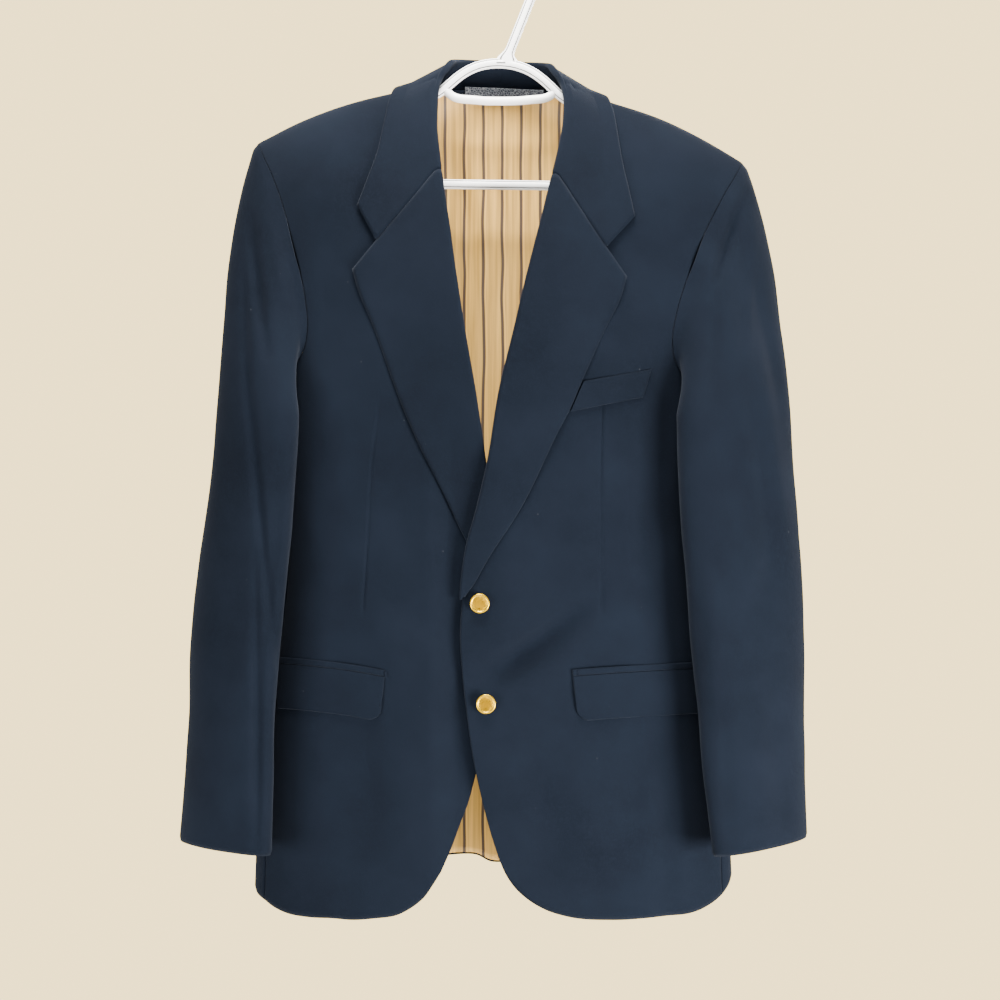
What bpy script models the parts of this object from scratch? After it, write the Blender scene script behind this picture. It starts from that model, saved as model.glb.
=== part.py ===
"""Single breasted blazer hanging on a tubular clothes hanger.

The origin is the inner crown of the hanger's hook, +Z is up and the fronts face -Y. Sizes are in
millimetres until a point is placed. "left" and "right" are the wearer's, "x" is the distance from the
garment's centre line towards that side, and "drop" is the depth below the origin.
"""

import math

import bpy
import numpy as np

MM = 0.001
SIDES = {"left": 1.0, "right": -1.0}

# Cloth, in millimetres.
WALL = 1.6
LINING_WALL = 1.0
LINING_FROM_ROW = 2
LINING_GAP = 2.0
LINING_HEM_INSET, LINING_SIDE_INSET = 6.0, 9.0

# Gaps between pieces on their outer sides. They are widest where the cloth turns a sharp corner, so
# that the inner sides stay clear of each other too.
SEAM_GAP = 0.8
SIDE_SEAM_GAP = 1.3
SHOULDER_SEAM_GAP = 1.5
SLEEVE_SEAM_GAP = 2.6
LAYER_GAP = 0.6
LABEL_GAP = 2.4

# The garment hangs a little lower on the wearer's left: slope, and the drops between which it fades.
TILT, TILT_FULL, TILT_END = 0.04, 300.0, 700.0

# Centre line: drop, x in the world.
CENTRE_LINE = [(90, -2), (200, -3), (300, -9.5), (380, -13), (520, -13), (700, -11), (980, -9.5)]

# Level sections of the body: drop, half width, depth of the front, depth of the back.
SECTIONS = [
    (80, 275, 50, 42),
    (200, 275, 54, 44),
    (300, 252, 58, 48),
    (380, 234, 60, 50),
    (440, 226, 60, 50),
    (552, 218, 58, 48),
    (620, 218, 57, 47),
    (720, 230, 59, 49),
    (850, 241, 60, 50),
    (980, 247, 60, 50),
]
SECTION_POWER = 2.5

# Shoulder line: its drop where it leaves the collar, its slope, and its fall towards the sleeve.
RIDGE_X, RIDGE_DROP, RIDGE_SLOPE = 105.0, 136.0, 0.27
RIDGE_BEND, RIDGE_FALL = 130.0, 0.0014
NECK_HALF, NECK_RISE = 72.5, 0.58
SHOULDER_HALF = 249.0

# How far below the shoulder line the cloth reaches its full depth: near the neck, at the sleeve.
FRONT_ROUNDING = (235.0, 110.0)
BACK_ROUNDING = (70.0, 110.0)
ROUNDING_FROM, ROUNDING_TO = 70.0, 180.0

# Armhole from the shoulder to the side panel: x, drop. It goes on round the side panel's top.
ARMHOLE = [
    (249, 195), (244, 206), (231, 230), (219, 256), (211, 277), (203, 302),
    (194, 330), (187.5, 358), (184.5, 384), (187.5, 404), (196.3, 420),
]
# Shares of the armhole's length at the rows of a panel: close together on the rounded shoulder.
ARMHOLE_ROWS = (0, 0.01, 0.04, 0.09, 0.16, 0.26, 0.38, 0.51, 0.64, 0.77, 0.89, 1)
UNDERARM_DROP, UNDERARM_RISE = 440.0, 20.0
# Seam of the side panel: drop, share of the half width. It runs further back below the armhole.
SIDE_SEAM = [(420, 0.86), (480, 0.89), (580, 0.94), (720, 0.95), (980, 0.95)]

# Front edge: drop, x. It is the lapel's roll line down to the break, then the edge of the front.
BREAK_DROP = 652.0
FRONT_EDGE = {
    "left": [
        (148, 64.6), (171, 63.1), (196, 58.8), (222, 53.8), (273, 45), (346, 30.8), (379, 24.5),
        (442, 10), (517, -3), (571, -16.5), (596, -23.7), (626, -29), (652, -31.5), (688, -32),
        (727, -30), (765, -26), (811, -19.6), (843, -13), (883, -3), (912, 6),
    ],
    "right": [
        (148, 64.6), (180, 64.4), (209, 60.3), (243, 53.8), (282, 45), (327, 36.3), (382, 25.5),
        (440, 14.8), (517, 4), (580, -5), (642, -13.5), (700, -12), (740, -6), (790, 4.5),
        (830, 17.7), (856, 24.8), (877, 33), (899, 41.1), (924, 52.2),
    ],
}
# Hem of each front from its rounded corner to the side seam: x, drop.
FRONT_HEM = {
    "left": [
        (6, 912), (12.7, 927), (20.7, 939), (34.6, 952), (53.6, 963), (72.5, 969), (120.5, 973.5),
        (150.5, 972.5), (174.5, 971), (198.5, 970), (212.4, 966.5), (224.5, 960.8), (233.6, 954.5),
    ],
    "right": [
        (52.2, 924), (60.3, 937), (69.4, 950), (81.4, 960), (96.5, 968), (119.5, 972), (142.5, 974),
        (162, 973), (188, 973), (212.4, 970), (225.5, 965.2), (233.7, 960),
    ],
}
# Hem of each side panel: drop at the front seam, at the side, at the back seam.
SIDE_HEM = {"left": (954.5, 939, 937), "right": (960, 951, 945)}

# Back from its centre seam outwards: neck edge and hem, x, drop.
BACK_NECK = [(0, 124), (20, 124.6), (42, 126), (60, 127), (72.5, 127.2)]
BACK_HEM = [(0, 929), (70, 930), (150, 935)]

# The right front passes under the left one: how far back, and where that fades.
UNDERLAP = 8.0
UNDERLAP_X = (33.0, 66.0)
UNDERLAP_TOP = (450.0, 525.0)
UNDERLAP_END = (860.0, 930.0)

# Lapel: outer edge from the tip to the break, x, drop.
LAPEL_EDGE = {
    "left": [
        (134.5, 322.5), (129.5, 343.6), (115.2, 376.5), (92, 431), (79, 461.5), (70, 478.5),
        (29.5, 561), (-4, 612), (-19.3, 638), (-27, 648),
    ],
    "right": [
        (140, 326), (134.6, 342.8), (117.4, 381), (81, 475), (59.2, 522), (43, 554.5), (23.7, 594),
        (0, 634), (-9.5, 647),
    ],
}
GORGE_DROP = 222.0
# Radius of the lapel's roll: drop, radius.
ROLL_RADIUS = {
    "left": [(120, 3.5), (400, 3.2), (560, 2.4), (655, 1.3)],
    "right": [(120, 3.5), (400, 2.6), (500, 1.8), (560, 1.4), (655, 1.1)],
}
LAPEL_LIFT = 2.9

# Collar stations from the centre back to the gorge: station, seam, fold and outer edge (x, y, drop
# each), the way the fall faces and the way the fold points, in degrees.
COLLAR = [
    (0.00, 0, 41.2, 122.9, 0, 45, 91, 0, 57, 138, 90, 90),
    (0.16, 34, 35, 124.6, 30, 40, 92, 44, 51, 140, 62, 90),
    (0.32, 60, 18, 125.4, 45, 26, 95, 84, 36, 140, 32, 88),
    (0.39, 67, 9, 125.3, 49.5, 18, 97, 99, 23, 135.5, 16, 85),
    (0.46, 71, 0, 125.6, 52, 9, 100, 107, 5, 131, 0, 80),
    (0.58, 69.6, -15, 136, 58, -8, 115, 113, -19, 146, -40, 45),
    (0.70, 68.2, -25, 152, 64.6, -28, 149, 117.5, -33, 173, -78, 10),
    (0.80, 66.8, -31, 173, 63.8, -34, 172, 123, -40, 205, -90, 0),
    (0.90, 62.6, -37, 198, 59.0, -40, 197, 131.5, -45, 236, -90, 0),
    (1.00, 57.3, -42, 222, 53.8, -45, 222, 139, -48, 262, -90, 0),
]
COLLAR_ON_BODY = (0.52, 0.72)
COLLAR_LIFT = 3.4
COLLAR_ROLL = 3.2
# The notch: its share of the way from the roll line to the lapel's tip, and across the collar.
NOTCH_SHARE, NOTCH_ACROSS = 0.72, 0.68
# Shares of the way across the collar's fall at its columns.
COLLAR_COLUMNS = (0.12, 0.26, 0.4, 0.54, NOTCH_ACROSS, 0.84, 1.0)

# Sleeves: drop, inner edge, outer edge, middle y, half thickness, turn in degrees.
SLEEVES = {
    "left": [
        (470, 173, 292, -43, 27, 20),
        (552, 176, 297.5, -45, 27, 21),
        (613, 181, 302.5, -44, 27, 22),
        (695, 186.5, 304.5, -47, 26, 22),
        (759, 193, 305.5, -49, 25, 23),
        (812, 196, 306.6, -50, 24, 24),
        (861, 202, 307, -51, 23, 25),
        (912, 208, 308, -52, 23, 26),
    ],
    "right": [
        (470, 205, 292, -43, 24, 26),
        (552, 209.5, 299.2, -43, 25, 28),
        (613, 214, 308.5, -43, 25, 30),
        (668, 220, 314.6, -43, 25, 31),
        (725, 225.6, 319.2, -43, 25, 32),
        (774, 228, 320.8, -43, 24, 32),
        (836, 229, 323.8, -45, 24, 32),
        (912, 231, 329, -47, 23, 32),
    ],
}
# Drop of each cuff at its inner and its outer edge.
CUFF = {"left": (906, 893), "right": (905, 898)}
# Fraction of the way round the armhole from its top, and the angle round the sleeve, in degrees.
SLEEVE_TURN = [
    (-0.36, -55), (-0.30, -44), (-0.15, -20), (0, 10), (0.2, 88), (0.37, 165), (0.41, 192), (0.45, 240),
    (0.5, 274), (0.55, 290), (0.6, 299), (0.64, 305), (0.7, 316), (0.85, 340), (1, 370),
]
TOP_SLEEVE_ANGLES = (
    -55, -42, -28, -16, -6, 2, 10, 16, 24, 38, 56, 76, 96, 116, 134, 150, 166, 182, 198, 214,
)
UNDER_SLEEVE_ANGLES = (214, 228, 242, 256, 269, 281, 291, 299, 305)
SLEEVE_LIFT, SLEEVE_OUT = 3.4, 3.4
# On the shoulder the sleeve's head starts lower and closer: how far round, how much lower, how much closer.
SLEEVE_TOP = (0.07, 4.4, 0.9)
# Under the arm the sleeve stands off the side panel: place round the armhole, how far round, by how much.
UNDERARM_STAND = (0.585, 0.06, 8.0)
# How the sleeve leaves the armhole: outwards, downwards, and how strongly; and its rows' spacing.
SLEEVE_START = (0.38, 0.92)
SLEEVE_START_PULL = 0.8
SLEEVE_ROW_POWER = 1.15

# Lower pockets: where the jet starts (x, drop), its drop further back, and its length.
POCKETS = {"left": (80.4, 721.7, 716.5, 138.0), "right": (107.8, 722.5, 712.0, 110.0)}
JET_HEIGHT = 6.5
FLAP_HEIGHT, FLAP_CORNER, FLAP_GAP = 45.0, 15.0, 0.5
FLAP_SLANT = 3.0
# Shares of the flap's length at its columns, close together on the rounded front corner, and of its
# height at its rows.
FLAP_COLUMNS = (0, 0.012, 0.03, 0.06, *(0.1 + 0.9 * step / 14 for step in range(15)))
FLAP_ROWS = (0.0, 0.25, 0.5, 0.75, 1.0)

# Breast welt: its corners along the top and along the bottom, x, drop.
WELT_TOP = [(94.5, 430), (163, 415)]
WELT_BOTTOM = [(81, 461.5), (155, 444)]

# Large soft troughs in the cloth: side, from x, drop, to x, drop, half width, depth.
BODY_FOLDS = [
    ("left", -20, 738, 84, 690, 17, 3.0),
    ("left", 146, 780, 136, 900, 18, 3.0),
    ("right", 60, 560, 150, 640, 24, 2.5),
    ("right", 150, 800, 130, 930, 22, 2.5),
]
# Sleeve folds: side, place round the armhole, from drop, to drop, half width, height (a trough is
# negative).
SLEEVE_FOLDS = [
    ("left", 0.20, 290, 430, 0.035, 4.0),
    ("left", 0.10, 280, 440, 0.030, -2.5),
    ("left", 0.30, 640, 800, 0.040, 3.0),
    ("right", 0.22, 230, 390, 0.040, 4.0),
    ("right", 0.34, 560, 860, 0.025, -2.0),
]

# Metal buttons on a shank: world x, drop; sizes; and the face from its middle to the rim, as a share
# of the radius and a depth below the highest point.
BUTTONS = {"upper": (-23.3, 655.4), "lower": (-17.0, 755.7)}
BUTTON_RADIUS, BUTTON_THICKNESS, SHANK_RADIUS, SHANK_HEIGHT = 9.8, 2.6, 2.2, 2.6
BUTTON_BASE_LIFT = 0.8
BUTTON_FACE = [(0, 0.2), (0.55, 0.3), (0.78, 0.7), (0.84, 0.1), (0.92, 0), (1, 0.9)]
BUTTON_BACK = [(1, 0.5), (0.9, 0)]

# Woven label inside the neck: world x from, to; drop from, to; and the drop above which it stands
# straight up from the lining, in front of the collar.
LABEL = (-41.0, 45.0, 119.5, 137.0)
LABEL_HELD = 133.0

# Hanger: tube radius, arch and arm centre line (x, drop), end loop, lower bar, neck bar, hook.
TUBE = 5.0
HANGER_X = -2.0
ARCH = [(0, 102), (14, 103.2), (28, 107.5), (42, 116), (53, 126), (62, 134.5)]
ARM = [(70, 139.5), (85, 142), (120, 150), (160, 162), (178, 169.5)]
LOOP_X, LOOP_TOP, BAR_DROP = 195.0, 179.5, 227.5
BAR_TILT = 0.014
NECK_BAR = [(-50.3, 136.6), (-28, 140), (0, 141.2), (28, 140), (50.3, 136.6)]
NECK_BAR_RADIUS = 4.4
HOOK_RADIUS = 30.3
STEM_FOOT = (5.2, 94.3)
STEM_ANGLE, HOOK_END_ANGLE = -23.8, 192.0

COLOURS = {
    "wool_navy": ((0.012, 0.019, 0.036), 0.9, 0.0),
    "lining_tan": ((0.62, 0.42, 0.24), 0.5, 0.0),
    "label_woven": ((0.03, 0.03, 0.03), 0.8, 0.0),
    "button_gold": ((0.83, 0.58, 0.22), 0.3, 1.0),
    "hanger_white": ((0.85, 0.86, 0.88), 0.25, 0.0),
}


# ---------------------------------------------------------------- curves and tables

def spline(rows, place):
    """Values of a smooth curve through table rows, each of which starts with its place."""
    table = np.array(rows, dtype=float)
    knots = table[:, 0]
    values = table[:, 1:]
    slopes = np.gradient(values, knots, axis=0)
    place = np.clip(np.asarray(place, dtype=float), knots[0], knots[-1])
    low = np.clip(np.searchsorted(knots, place, side="right") - 1, 0, len(knots) - 2)
    span = (knots[low + 1] - knots[low])[..., None]
    s = (place - knots[low])[..., None] / span
    near = (1 + 2 * s) * (1 - s) ** 2 * values[low] + s * (1 - s) ** 2 * span * slopes[low]
    far = s * s * (3 - 2 * s) * values[low + 1] + s * s * (s - 1) * span * slopes[low + 1]
    return near + far


def run_length(points):
    """Distance along a line of points, starting at 0."""
    steps = np.linalg.norm(np.diff(points, axis=0), axis=1)
    return np.concatenate([[0.0], np.cumsum(steps)])


def trace(points, fractions):
    """Points at fractions of the length of a smooth curve through the given points."""
    points = np.array(points, dtype=float)
    chord = run_length(points)
    fine = spline(np.column_stack([chord, points]), np.linspace(0, chord[-1], 500))
    run = run_length(fine)
    columns = [np.interp(fractions, run / run[-1], fine[:, k]) for k in range(points.shape[1])]
    return np.column_stack(columns)


def ease(value):
    """0 to 1 with level ends."""
    value = np.clip(value, 0.0, 1.0)
    return value * value * (3 - 2 * value)


def between(value, start, end):
    """Eased share of the way from start to end."""
    return ease((np.asarray(value, dtype=float) - start) / (end - start))


def patch(inner, outer, top, bottom, down, across):
    """Grid between four edges; down and across are the shares of the way at each row and column."""
    v = down[:, None, None]
    u = across[None, :, None]
    ruled_across = (1 - u) * inner[:, None] + u * outer[:, None]
    ruled_down = (1 - v) * top[None, :] + v * bottom[None, :]
    upper = (1 - u) * inner[0] + u * outer[0]
    lower = (1 - u) * inner[-1] + u * outer[-1]
    return ruled_across + ruled_down - (1 - v) * upper - v * lower


# ---------------------------------------------------------------- the body's surface

def ridge(x):
    """Drop of the shoulder line at a distance from the centre line."""
    x = np.abs(x)
    beyond = np.maximum(x, NECK_HALF)
    drop = RIDGE_DROP + RIDGE_SLOPE * (beyond - RIDGE_X)
    drop = drop + RIDGE_FALL * np.maximum(beyond - RIDGE_BEND, 0) ** 2
    return drop - NECK_RISE * (beyond - x)


def body_depth(x, drop, face):
    """y of the cloth's outer side on the front (face -1) or the back (face 1)."""
    half, front, back = np.moveaxis(spline(SECTIONS, drop), -1, 0)
    near, far = FRONT_ROUNDING if face < 0 else BACK_ROUNDING
    reach = near + (far - near) * between(np.abs(x), ROUNDING_FROM, ROUNDING_TO)
    below = np.clip((drop - ridge(x)) / reach, 0, 1)
    rounded = np.sqrt(1 - (1 - below) ** 2)
    width = np.clip(np.abs(x) / half, 0, 1)
    depth = front if face < 0 else back
    return face * depth * np.sqrt(1 - width ** SECTION_POWER) * rounded


def underlap(side, x, drop):
    """How far the right front is set back where the left front covers it."""
    if side == "left":
        return np.zeros(np.broadcast(x, drop).shape)
    across = 1 - between(x, *UNDERLAP_X)
    return UNDERLAP * across * between(drop, *UNDERLAP_TOP) * (1 - between(drop, *UNDERLAP_END))


def trough(side, x, drop):
    """Depth of the soft folds at a place on the fronts."""
    depth = np.zeros(np.broadcast(x, drop).shape)
    for fold_side, x0, drop0, x1, drop1, half_width, fold_depth in BODY_FOLDS:
        if fold_side != side:
            continue
        length2 = (x1 - x0) ** 2 + (drop1 - drop0) ** 2
        along = ((x - x0) * (x1 - x0) + (drop - drop0) * (drop1 - drop0)) / length2
        held = np.clip(along, 0, 1)
        away = np.hypot(x - x0 - held * (x1 - x0), drop - drop0 - held * (drop1 - drop0))
        depth = depth + fold_depth * np.exp(-((away / half_width) ** 2)) * np.sin(
            math.pi * np.clip(0.12 + 0.76 * held, 0, 1)
        )
    return depth


def placed(side, x, y, drop):
    """World points in metres from one side's distance, depth and drop."""
    sign = SIDES[side]
    x, y, drop = np.broadcast_arrays(x, y, drop)
    centre = spline(CENTRE_LINE, drop)[..., 0]
    fade = 1 - between(drop, TILT_FULL, TILT_END)
    sunk = drop + TILT * sign * x * fade
    return np.stack([centre + sign * x, y, -sunk], axis=-1) * MM


def body(side, x, drop, face=-1, lift=0.0):
    """World points on the body's cloth, moved out by lift."""
    x = np.asarray(x, dtype=float)
    drop = np.asarray(drop, dtype=float)

    def surface(x, drop):
        y = body_depth(x, drop, face)
        if face < 0:
            y = y + underlap(side, x, drop) + trough(side, x, drop)
        return placed(side, x, y, drop)

    points = surface(x, drop)
    if np.any(lift):
        level = surface(x + 1, drop) - surface(x - 1, drop)
        steep = surface(x, drop + 1) - surface(x, drop - 1)
        normal = np.cross(level, steep)
        normal /= np.linalg.norm(normal, axis=-1, keepdims=True)
        normal *= np.sign(normal[..., 1:2]) * face
        points = points + normal * np.asarray(lift)[..., None] * MM
    return points


def side_point(side, turn, drop):
    """World points round the side: turn 1 at the front seam, 0 at the side, -1 at the back seam."""
    half, front, back = np.moveaxis(spline(SECTIONS, drop), -1, 0)
    width = 1 - (1 - spline(SIDE_SEAM, drop)[..., 0]) * turn ** 2
    depth = np.where(turn > 0, -front, back)
    y = depth * np.sqrt(np.maximum(1 - width ** SECTION_POWER, 0))
    return placed(side, half * width, y, drop)


# ---------------------------------------------------------------- objects

def finish(name):
    """The named material."""
    material = bpy.data.materials.get(name)
    if material is None:
        colour, roughness, metallic = COLOURS[name]
        material = bpy.data.materials.new(name)
        material.use_nodes = True
        shader = material.node_tree.nodes["Principled BSDF"]
        shader.inputs["Base Color"].default_value = (*colour, 1)
        shader.inputs["Roughness"].default_value = roughness
        shader.inputs["Metallic"].default_value = metallic
    return material


def add_object(name, data, material, collection):
    """An object in the collection, with its material."""
    piece = bpy.data.objects.new(name, data)
    data.materials.append(finish(material))
    collection.objects.link(piece)
    return piece


def cloth(name, grid, material, collection, wall=WALL, offset=-1.0, flip=False):
    """A cloth wall on a grid of points. Its outer side faces away from the wall's thickness."""
    rows, columns = grid.shape[:2]
    if flip:
        grid = grid[:, ::-1]
    mesh = bpy.data.meshes.new(name)
    faces = []
    for i in range(rows - 1):
        for j in range(columns - 1):
            corner = i * columns + j
            faces.append((corner, corner + columns, corner + columns + 1, corner + 1))
    mesh.from_pydata(grid.reshape(-1, 3).tolist(), [], faces)
    mesh.shade_smooth()
    piece = add_object(name, mesh, material, collection)
    solid = piece.modifiers.new("wall", "SOLIDIFY")
    solid.thickness = wall * MM
    solid.offset = offset
    solid.use_even_offset = True
    solid.use_quality_normals = True
    return piece


def drawn_in(grid, **edges):
    """The grid with its named edges moved inwards by so many millimetres."""
    grid = grid.copy()
    pairs = {
        "top": (grid[0], grid[1]),
        "bottom": (grid[-1], grid[-2]),
        "inner": (grid[:, 0], grid[:, 1]),
        "outer": (grid[:, -1], grid[:, -2]),
    }
    for edge, amount in edges.items():
        border, neighbour = pairs[edge]
        step = neighbour - border
        border += step / np.linalg.norm(step, axis=-1, keepdims=True) * amount * MM
    return grid


def grid_normals(grid):
    """Unit normals of a grid of points."""
    normal = np.cross(np.gradient(grid, axis=0), np.gradient(grid, axis=1))
    return normal / np.linalg.norm(normal, axis=-1, keepdims=True)


# ---------------------------------------------------------------- fronts, sides, backs

def roll_radius(side, drop):
    return spline(ROLL_RADIUS[side], drop)[..., 0]


def front_inner_edge(side):
    """Front panel's inner edge: it stops short of the roll line by the roll's radius."""
    points = [(NECK_HALF, ridge(NECK_HALF))]
    for drop, x in FRONT_EDGE[side]:
        inset = 0.0
        if drop <= BREAK_DROP + 1:
            inset = float(roll_radius(side, drop)) + SEAM_GAP
        points.append((x + inset, drop))
    return points


def outer_edge(hem_drop, seam_count):
    """A panel's armhole and side seam, and the share of the way down at each row."""
    armhole = trace(ARMHOLE, ARMHOLE_ROWS)
    seam = trace(side_seam_line(hem_drop), np.linspace(0, 1, seam_count + 1))
    edge = np.concatenate([armhole, seam[1:]])
    run = run_length(edge)
    return edge, run / run[-1]


def side_seam_line(hem_drop):
    """Seam between a panel and the side panel: x, drop."""
    drops = np.linspace(ARMHOLE[-1][1], hem_drop, 12)
    half = spline(SECTIONS, drops)[..., 0]
    return np.column_stack([half * spline(SIDE_SEAM, drops)[..., 0], drops])


def front_grid(side, seam_count=12, columns=11):
    outer, down = outer_edge(FRONT_HEM[side][-1][1], seam_count)
    inner = trace(front_inner_edge(side), down)
    across = np.linspace(0, 1, columns)
    shoulder_x = NECK_HALF + (SHOULDER_HALF - NECK_HALF) * across
    top = np.column_stack([shoulder_x, ridge(shoulder_x)])
    outer[0] = top[-1]
    bottom = trace(FRONT_HEM[side], across)
    outer[-1] = bottom[-1]
    flat = patch(inner, outer, top, bottom, down, across)
    return body(side, flat[..., 0], flat[..., 1])


def side_grid(side, rows=13, columns=9):
    turn = np.linspace(1, -1, columns)[None, :]
    top = UNDERARM_DROP - UNDERARM_RISE * np.abs(turn) ** 3
    at_front, at_side, at_back = SIDE_HEM[side]
    hem = at_side + (at_front - at_back) / 2 * turn + ((at_front + at_back) / 2 - at_side) * turn ** 2
    down = np.linspace(0, 1, rows)[:, None]
    drop = top + (hem - top) * down
    return side_point(side, np.broadcast_to(turn, drop.shape), drop)


def back_grid(side, seam_count=10, neck_columns=4, shoulder_columns=6):
    outer, down = outer_edge(SIDE_HEM[side][2], seam_count)
    neck = trace(BACK_NECK, np.linspace(0, 1, neck_columns + 1))
    shoulder_x = np.linspace(NECK_HALF, SHOULDER_HALF, shoulder_columns + 1)
    shoulder = np.column_stack([shoulder_x, ridge(shoulder_x)])
    top = np.concatenate([neck, shoulder[1:]])
    outer[0] = top[-1]
    run = run_length(top)
    across = run / run[-1]
    start, end = BACK_NECK[0][1], BACK_HEM[0][1]
    inner = np.column_stack([np.zeros(len(down)), start + (end - start) * down])
    bottom = trace(BACK_HEM + [tuple(outer[-1])], across)
    flat = patch(inner, outer, top, bottom, down, across)
    return body(side, flat[..., 0], flat[..., 1], face=1)


def build_panels(collection):
    centre, side_seam, shoulder = SEAM_GAP / 2, SIDE_SEAM_GAP / 2, SHOULDER_SEAM_GAP / 2
    for side in SIDES:
        right = side == "right"
        grid = drawn_in(front_grid(side), top=shoulder, outer=side_seam)
        cloth(f"front_{side}", grid, "wool_navy", collection, flip=right)
        grid = drawn_in(side_grid(side), inner=side_seam, outer=side_seam)
        cloth(f"side_{side}", grid, "wool_navy", collection, flip=right)
        grid = drawn_in(back_grid(side), top=shoulder, inner=centre, outer=side_seam)
        cloth(f"back_{side}", grid, "wool_navy", collection, flip=not right)


def build_lining(collection):
    """One sheet just inside the back, from the neck to the hem."""
    halves = [back_grid(side)[LINING_FROM_ROW:, ::step] for side, step in (("right", -2), ("left", 2))]
    grid = np.concatenate([halves[0][:, :-1], halves[1]], axis=1)
    inwards = -np.sign(grid_normals(grid)[..., 1:2]) * grid_normals(grid)
    grid = grid + inwards * (WALL + LINING_GAP) * MM
    grid = drawn_in(grid, bottom=LINING_HEM_INSET, inner=LINING_SIDE_INSET, outer=LINING_SIDE_INSET)
    cloth("lining_back", grid, "lining_tan", collection, wall=LINING_WALL, offset=1.0)


# ---------------------------------------------------------------- lapels and collar

def hairpin(seam, fold, facing, crown, radius, arc_steps=6):
    """Under layer and turn of a folded sheet, from its seam over the fold to where it lies back."""
    towards = np.array([math.cos(facing), math.sin(facing), 0.0])
    crest = np.array([-math.cos(crown), 0.0, math.sin(crown)])
    crest = crest - towards * crest.dot(towards)
    crest /= np.linalg.norm(crest)
    centre = fold - crest * radius
    points = [seam]
    for step in range(arc_steps + 1):
        angle = math.pi * step / arc_steps
        points.append(centre - towards * radius * math.cos(angle) + crest * radius * math.sin(angle))
    return np.array(points)


def lapel_grid(side, rows=14, columns=7):
    edge_x = FRONT_EDGE[side]
    shares = np.linspace(0, 1, rows)
    roll_drops = GORGE_DROP + (BREAK_DROP - GORGE_DROP) * shares
    outer = trace(LAPEL_EDGE[side], shares)
    lines = []
    for drop, (outer_x, outer_drop) in zip(roll_drops, outer):
        radius = float(roll_radius(side, drop))
        x = float(spline(edge_x, drop)[0])
        across = np.linspace(0, 1, columns)[1:]
        angle = np.linspace(-90, 90, 7)
        turn_x = x + radius - radius * np.cos(np.radians(angle))
        turn_lift = radius + radius * np.sin(np.radians(angle))
        lie_x = x + radius + (outer_x - x - radius) * across
        lie_drop = drop + (outer_drop - drop) * across
        lie_lift = 2 * radius + (LAPEL_LIFT - 2 * radius) * ease(across)
        under = body(side, x + radius, drop)
        turn = under + np.stack([
            SIDES[side] * (turn_x - x - radius), -turn_lift, np.zeros(len(angle)),
        ], axis=-1) * MM
        lie = body(side, lie_x, lie_drop, lift=lie_lift)
        lines.append(np.concatenate([turn, lie]))
    return np.array(lines)


def collar_grid(side, stations=14):
    """Half of the collar, from the centre back to the gorge."""
    lines = []
    gorge = np.array([float(spline(FRONT_EDGE[side], GORGE_DROP)[0]) + COLLAR_ROLL, GORGE_DROP])
    corner = np.array([COLLAR[-1][7], COLLAR[-1][9]])
    notch = (np.array(LAPEL_EDGE[side][0]) - gorge) * NOTCH_SHARE - (corner - gorge) * NOTCH_ACROSS
    across = np.array(COLLAR_COLUMNS)
    for station in np.linspace(0, 1, stations):
        row = spline(COLLAR, station)
        seam = np.array([row[0], row[1], -row[2]])
        fold = np.array([row[3], row[4], -row[5]])
        leaf = np.array([row[6], row[7], -row[8]])
        facing, crown = math.radians(row[9]), math.radians(row[10])
        on_body = float(between(station, *COLLAR_ON_BODY))
        fold[0] += (float(spline(FRONT_EDGE[side], row[5])[0]) - fold[0]) * on_body
        seam[0] += (fold[0] + COLLAR_ROLL - seam[0]) * on_body
        turn = hairpin(seam, fold, facing, crown, COLLAR_ROLL)
        start = turn[-1]
        lie = start + (leaf - start) * across[:, None]
        bend = np.minimum(across / NOTCH_ACROSS, (1 - across) / (1 - NOTCH_ACROSS)) * station ** 4
        lie[:, 0] += notch[0] * bend
        lie[:, 2] -= notch[1] * bend
        turn_world = placed(side, turn[:, 0], turn[:, 1], -turn[:, 2])
        lie_world = placed(side, lie[:, 0], lie[:, 1], -lie[:, 2])
        if on_body:
            lift = 2 * COLLAR_ROLL + (COLLAR_LIFT - 2 * COLLAR_ROLL) * ease(across)
            rest = body(side, lie[:, 0], -lie[:, 2], lift=lift)
            lie_world = lie_world + (rest - lie_world) * on_body
            level = float(body(side, fold[0] + COLLAR_ROLL, -fold[2])[1]) / MM
            shift = (level - COLLAR_ROLL - fold[1]) * on_body
            turn_world[:, 1] += shift * MM
        lines.append(np.concatenate([turn_world, lie_world]))
    return np.array(lines)


def build_lapels_and_collar(collection):
    half = SEAM_GAP / 2
    for side in SIDES:
        grid = drawn_in(lapel_grid(side), top=half)
        cloth(f"lapel_{side}", grid, "wool_navy", collection, offset=0.0, flip=side == "right")
    left, right = collar_grid("left"), collar_grid("right")
    grid = np.concatenate([right[:0:-1], left])
    grid = drawn_in(grid, top=half, bottom=half)
    cloth("collar", grid, "wool_navy", collection, offset=0.0)


# ---------------------------------------------------------------- sleeves

def armhole_loop(side, count=240):
    """World points round the armhole: from the shoulder down the front and up the back."""
    share = np.linspace(0, 1, count)
    limb = trace(ARMHOLE, share)
    front = body(side, limb[:, 0], limb[:, 1])
    back = body(side, limb[:, 0], limb[:, 1], face=1)
    turn = np.linspace(1, -1, count // 2)
    under = side_point(side, turn, UNDERARM_DROP - UNDERARM_RISE * np.abs(turn) ** 3)
    return np.concatenate([front, under[1:], back[::-1][1:]])


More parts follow.
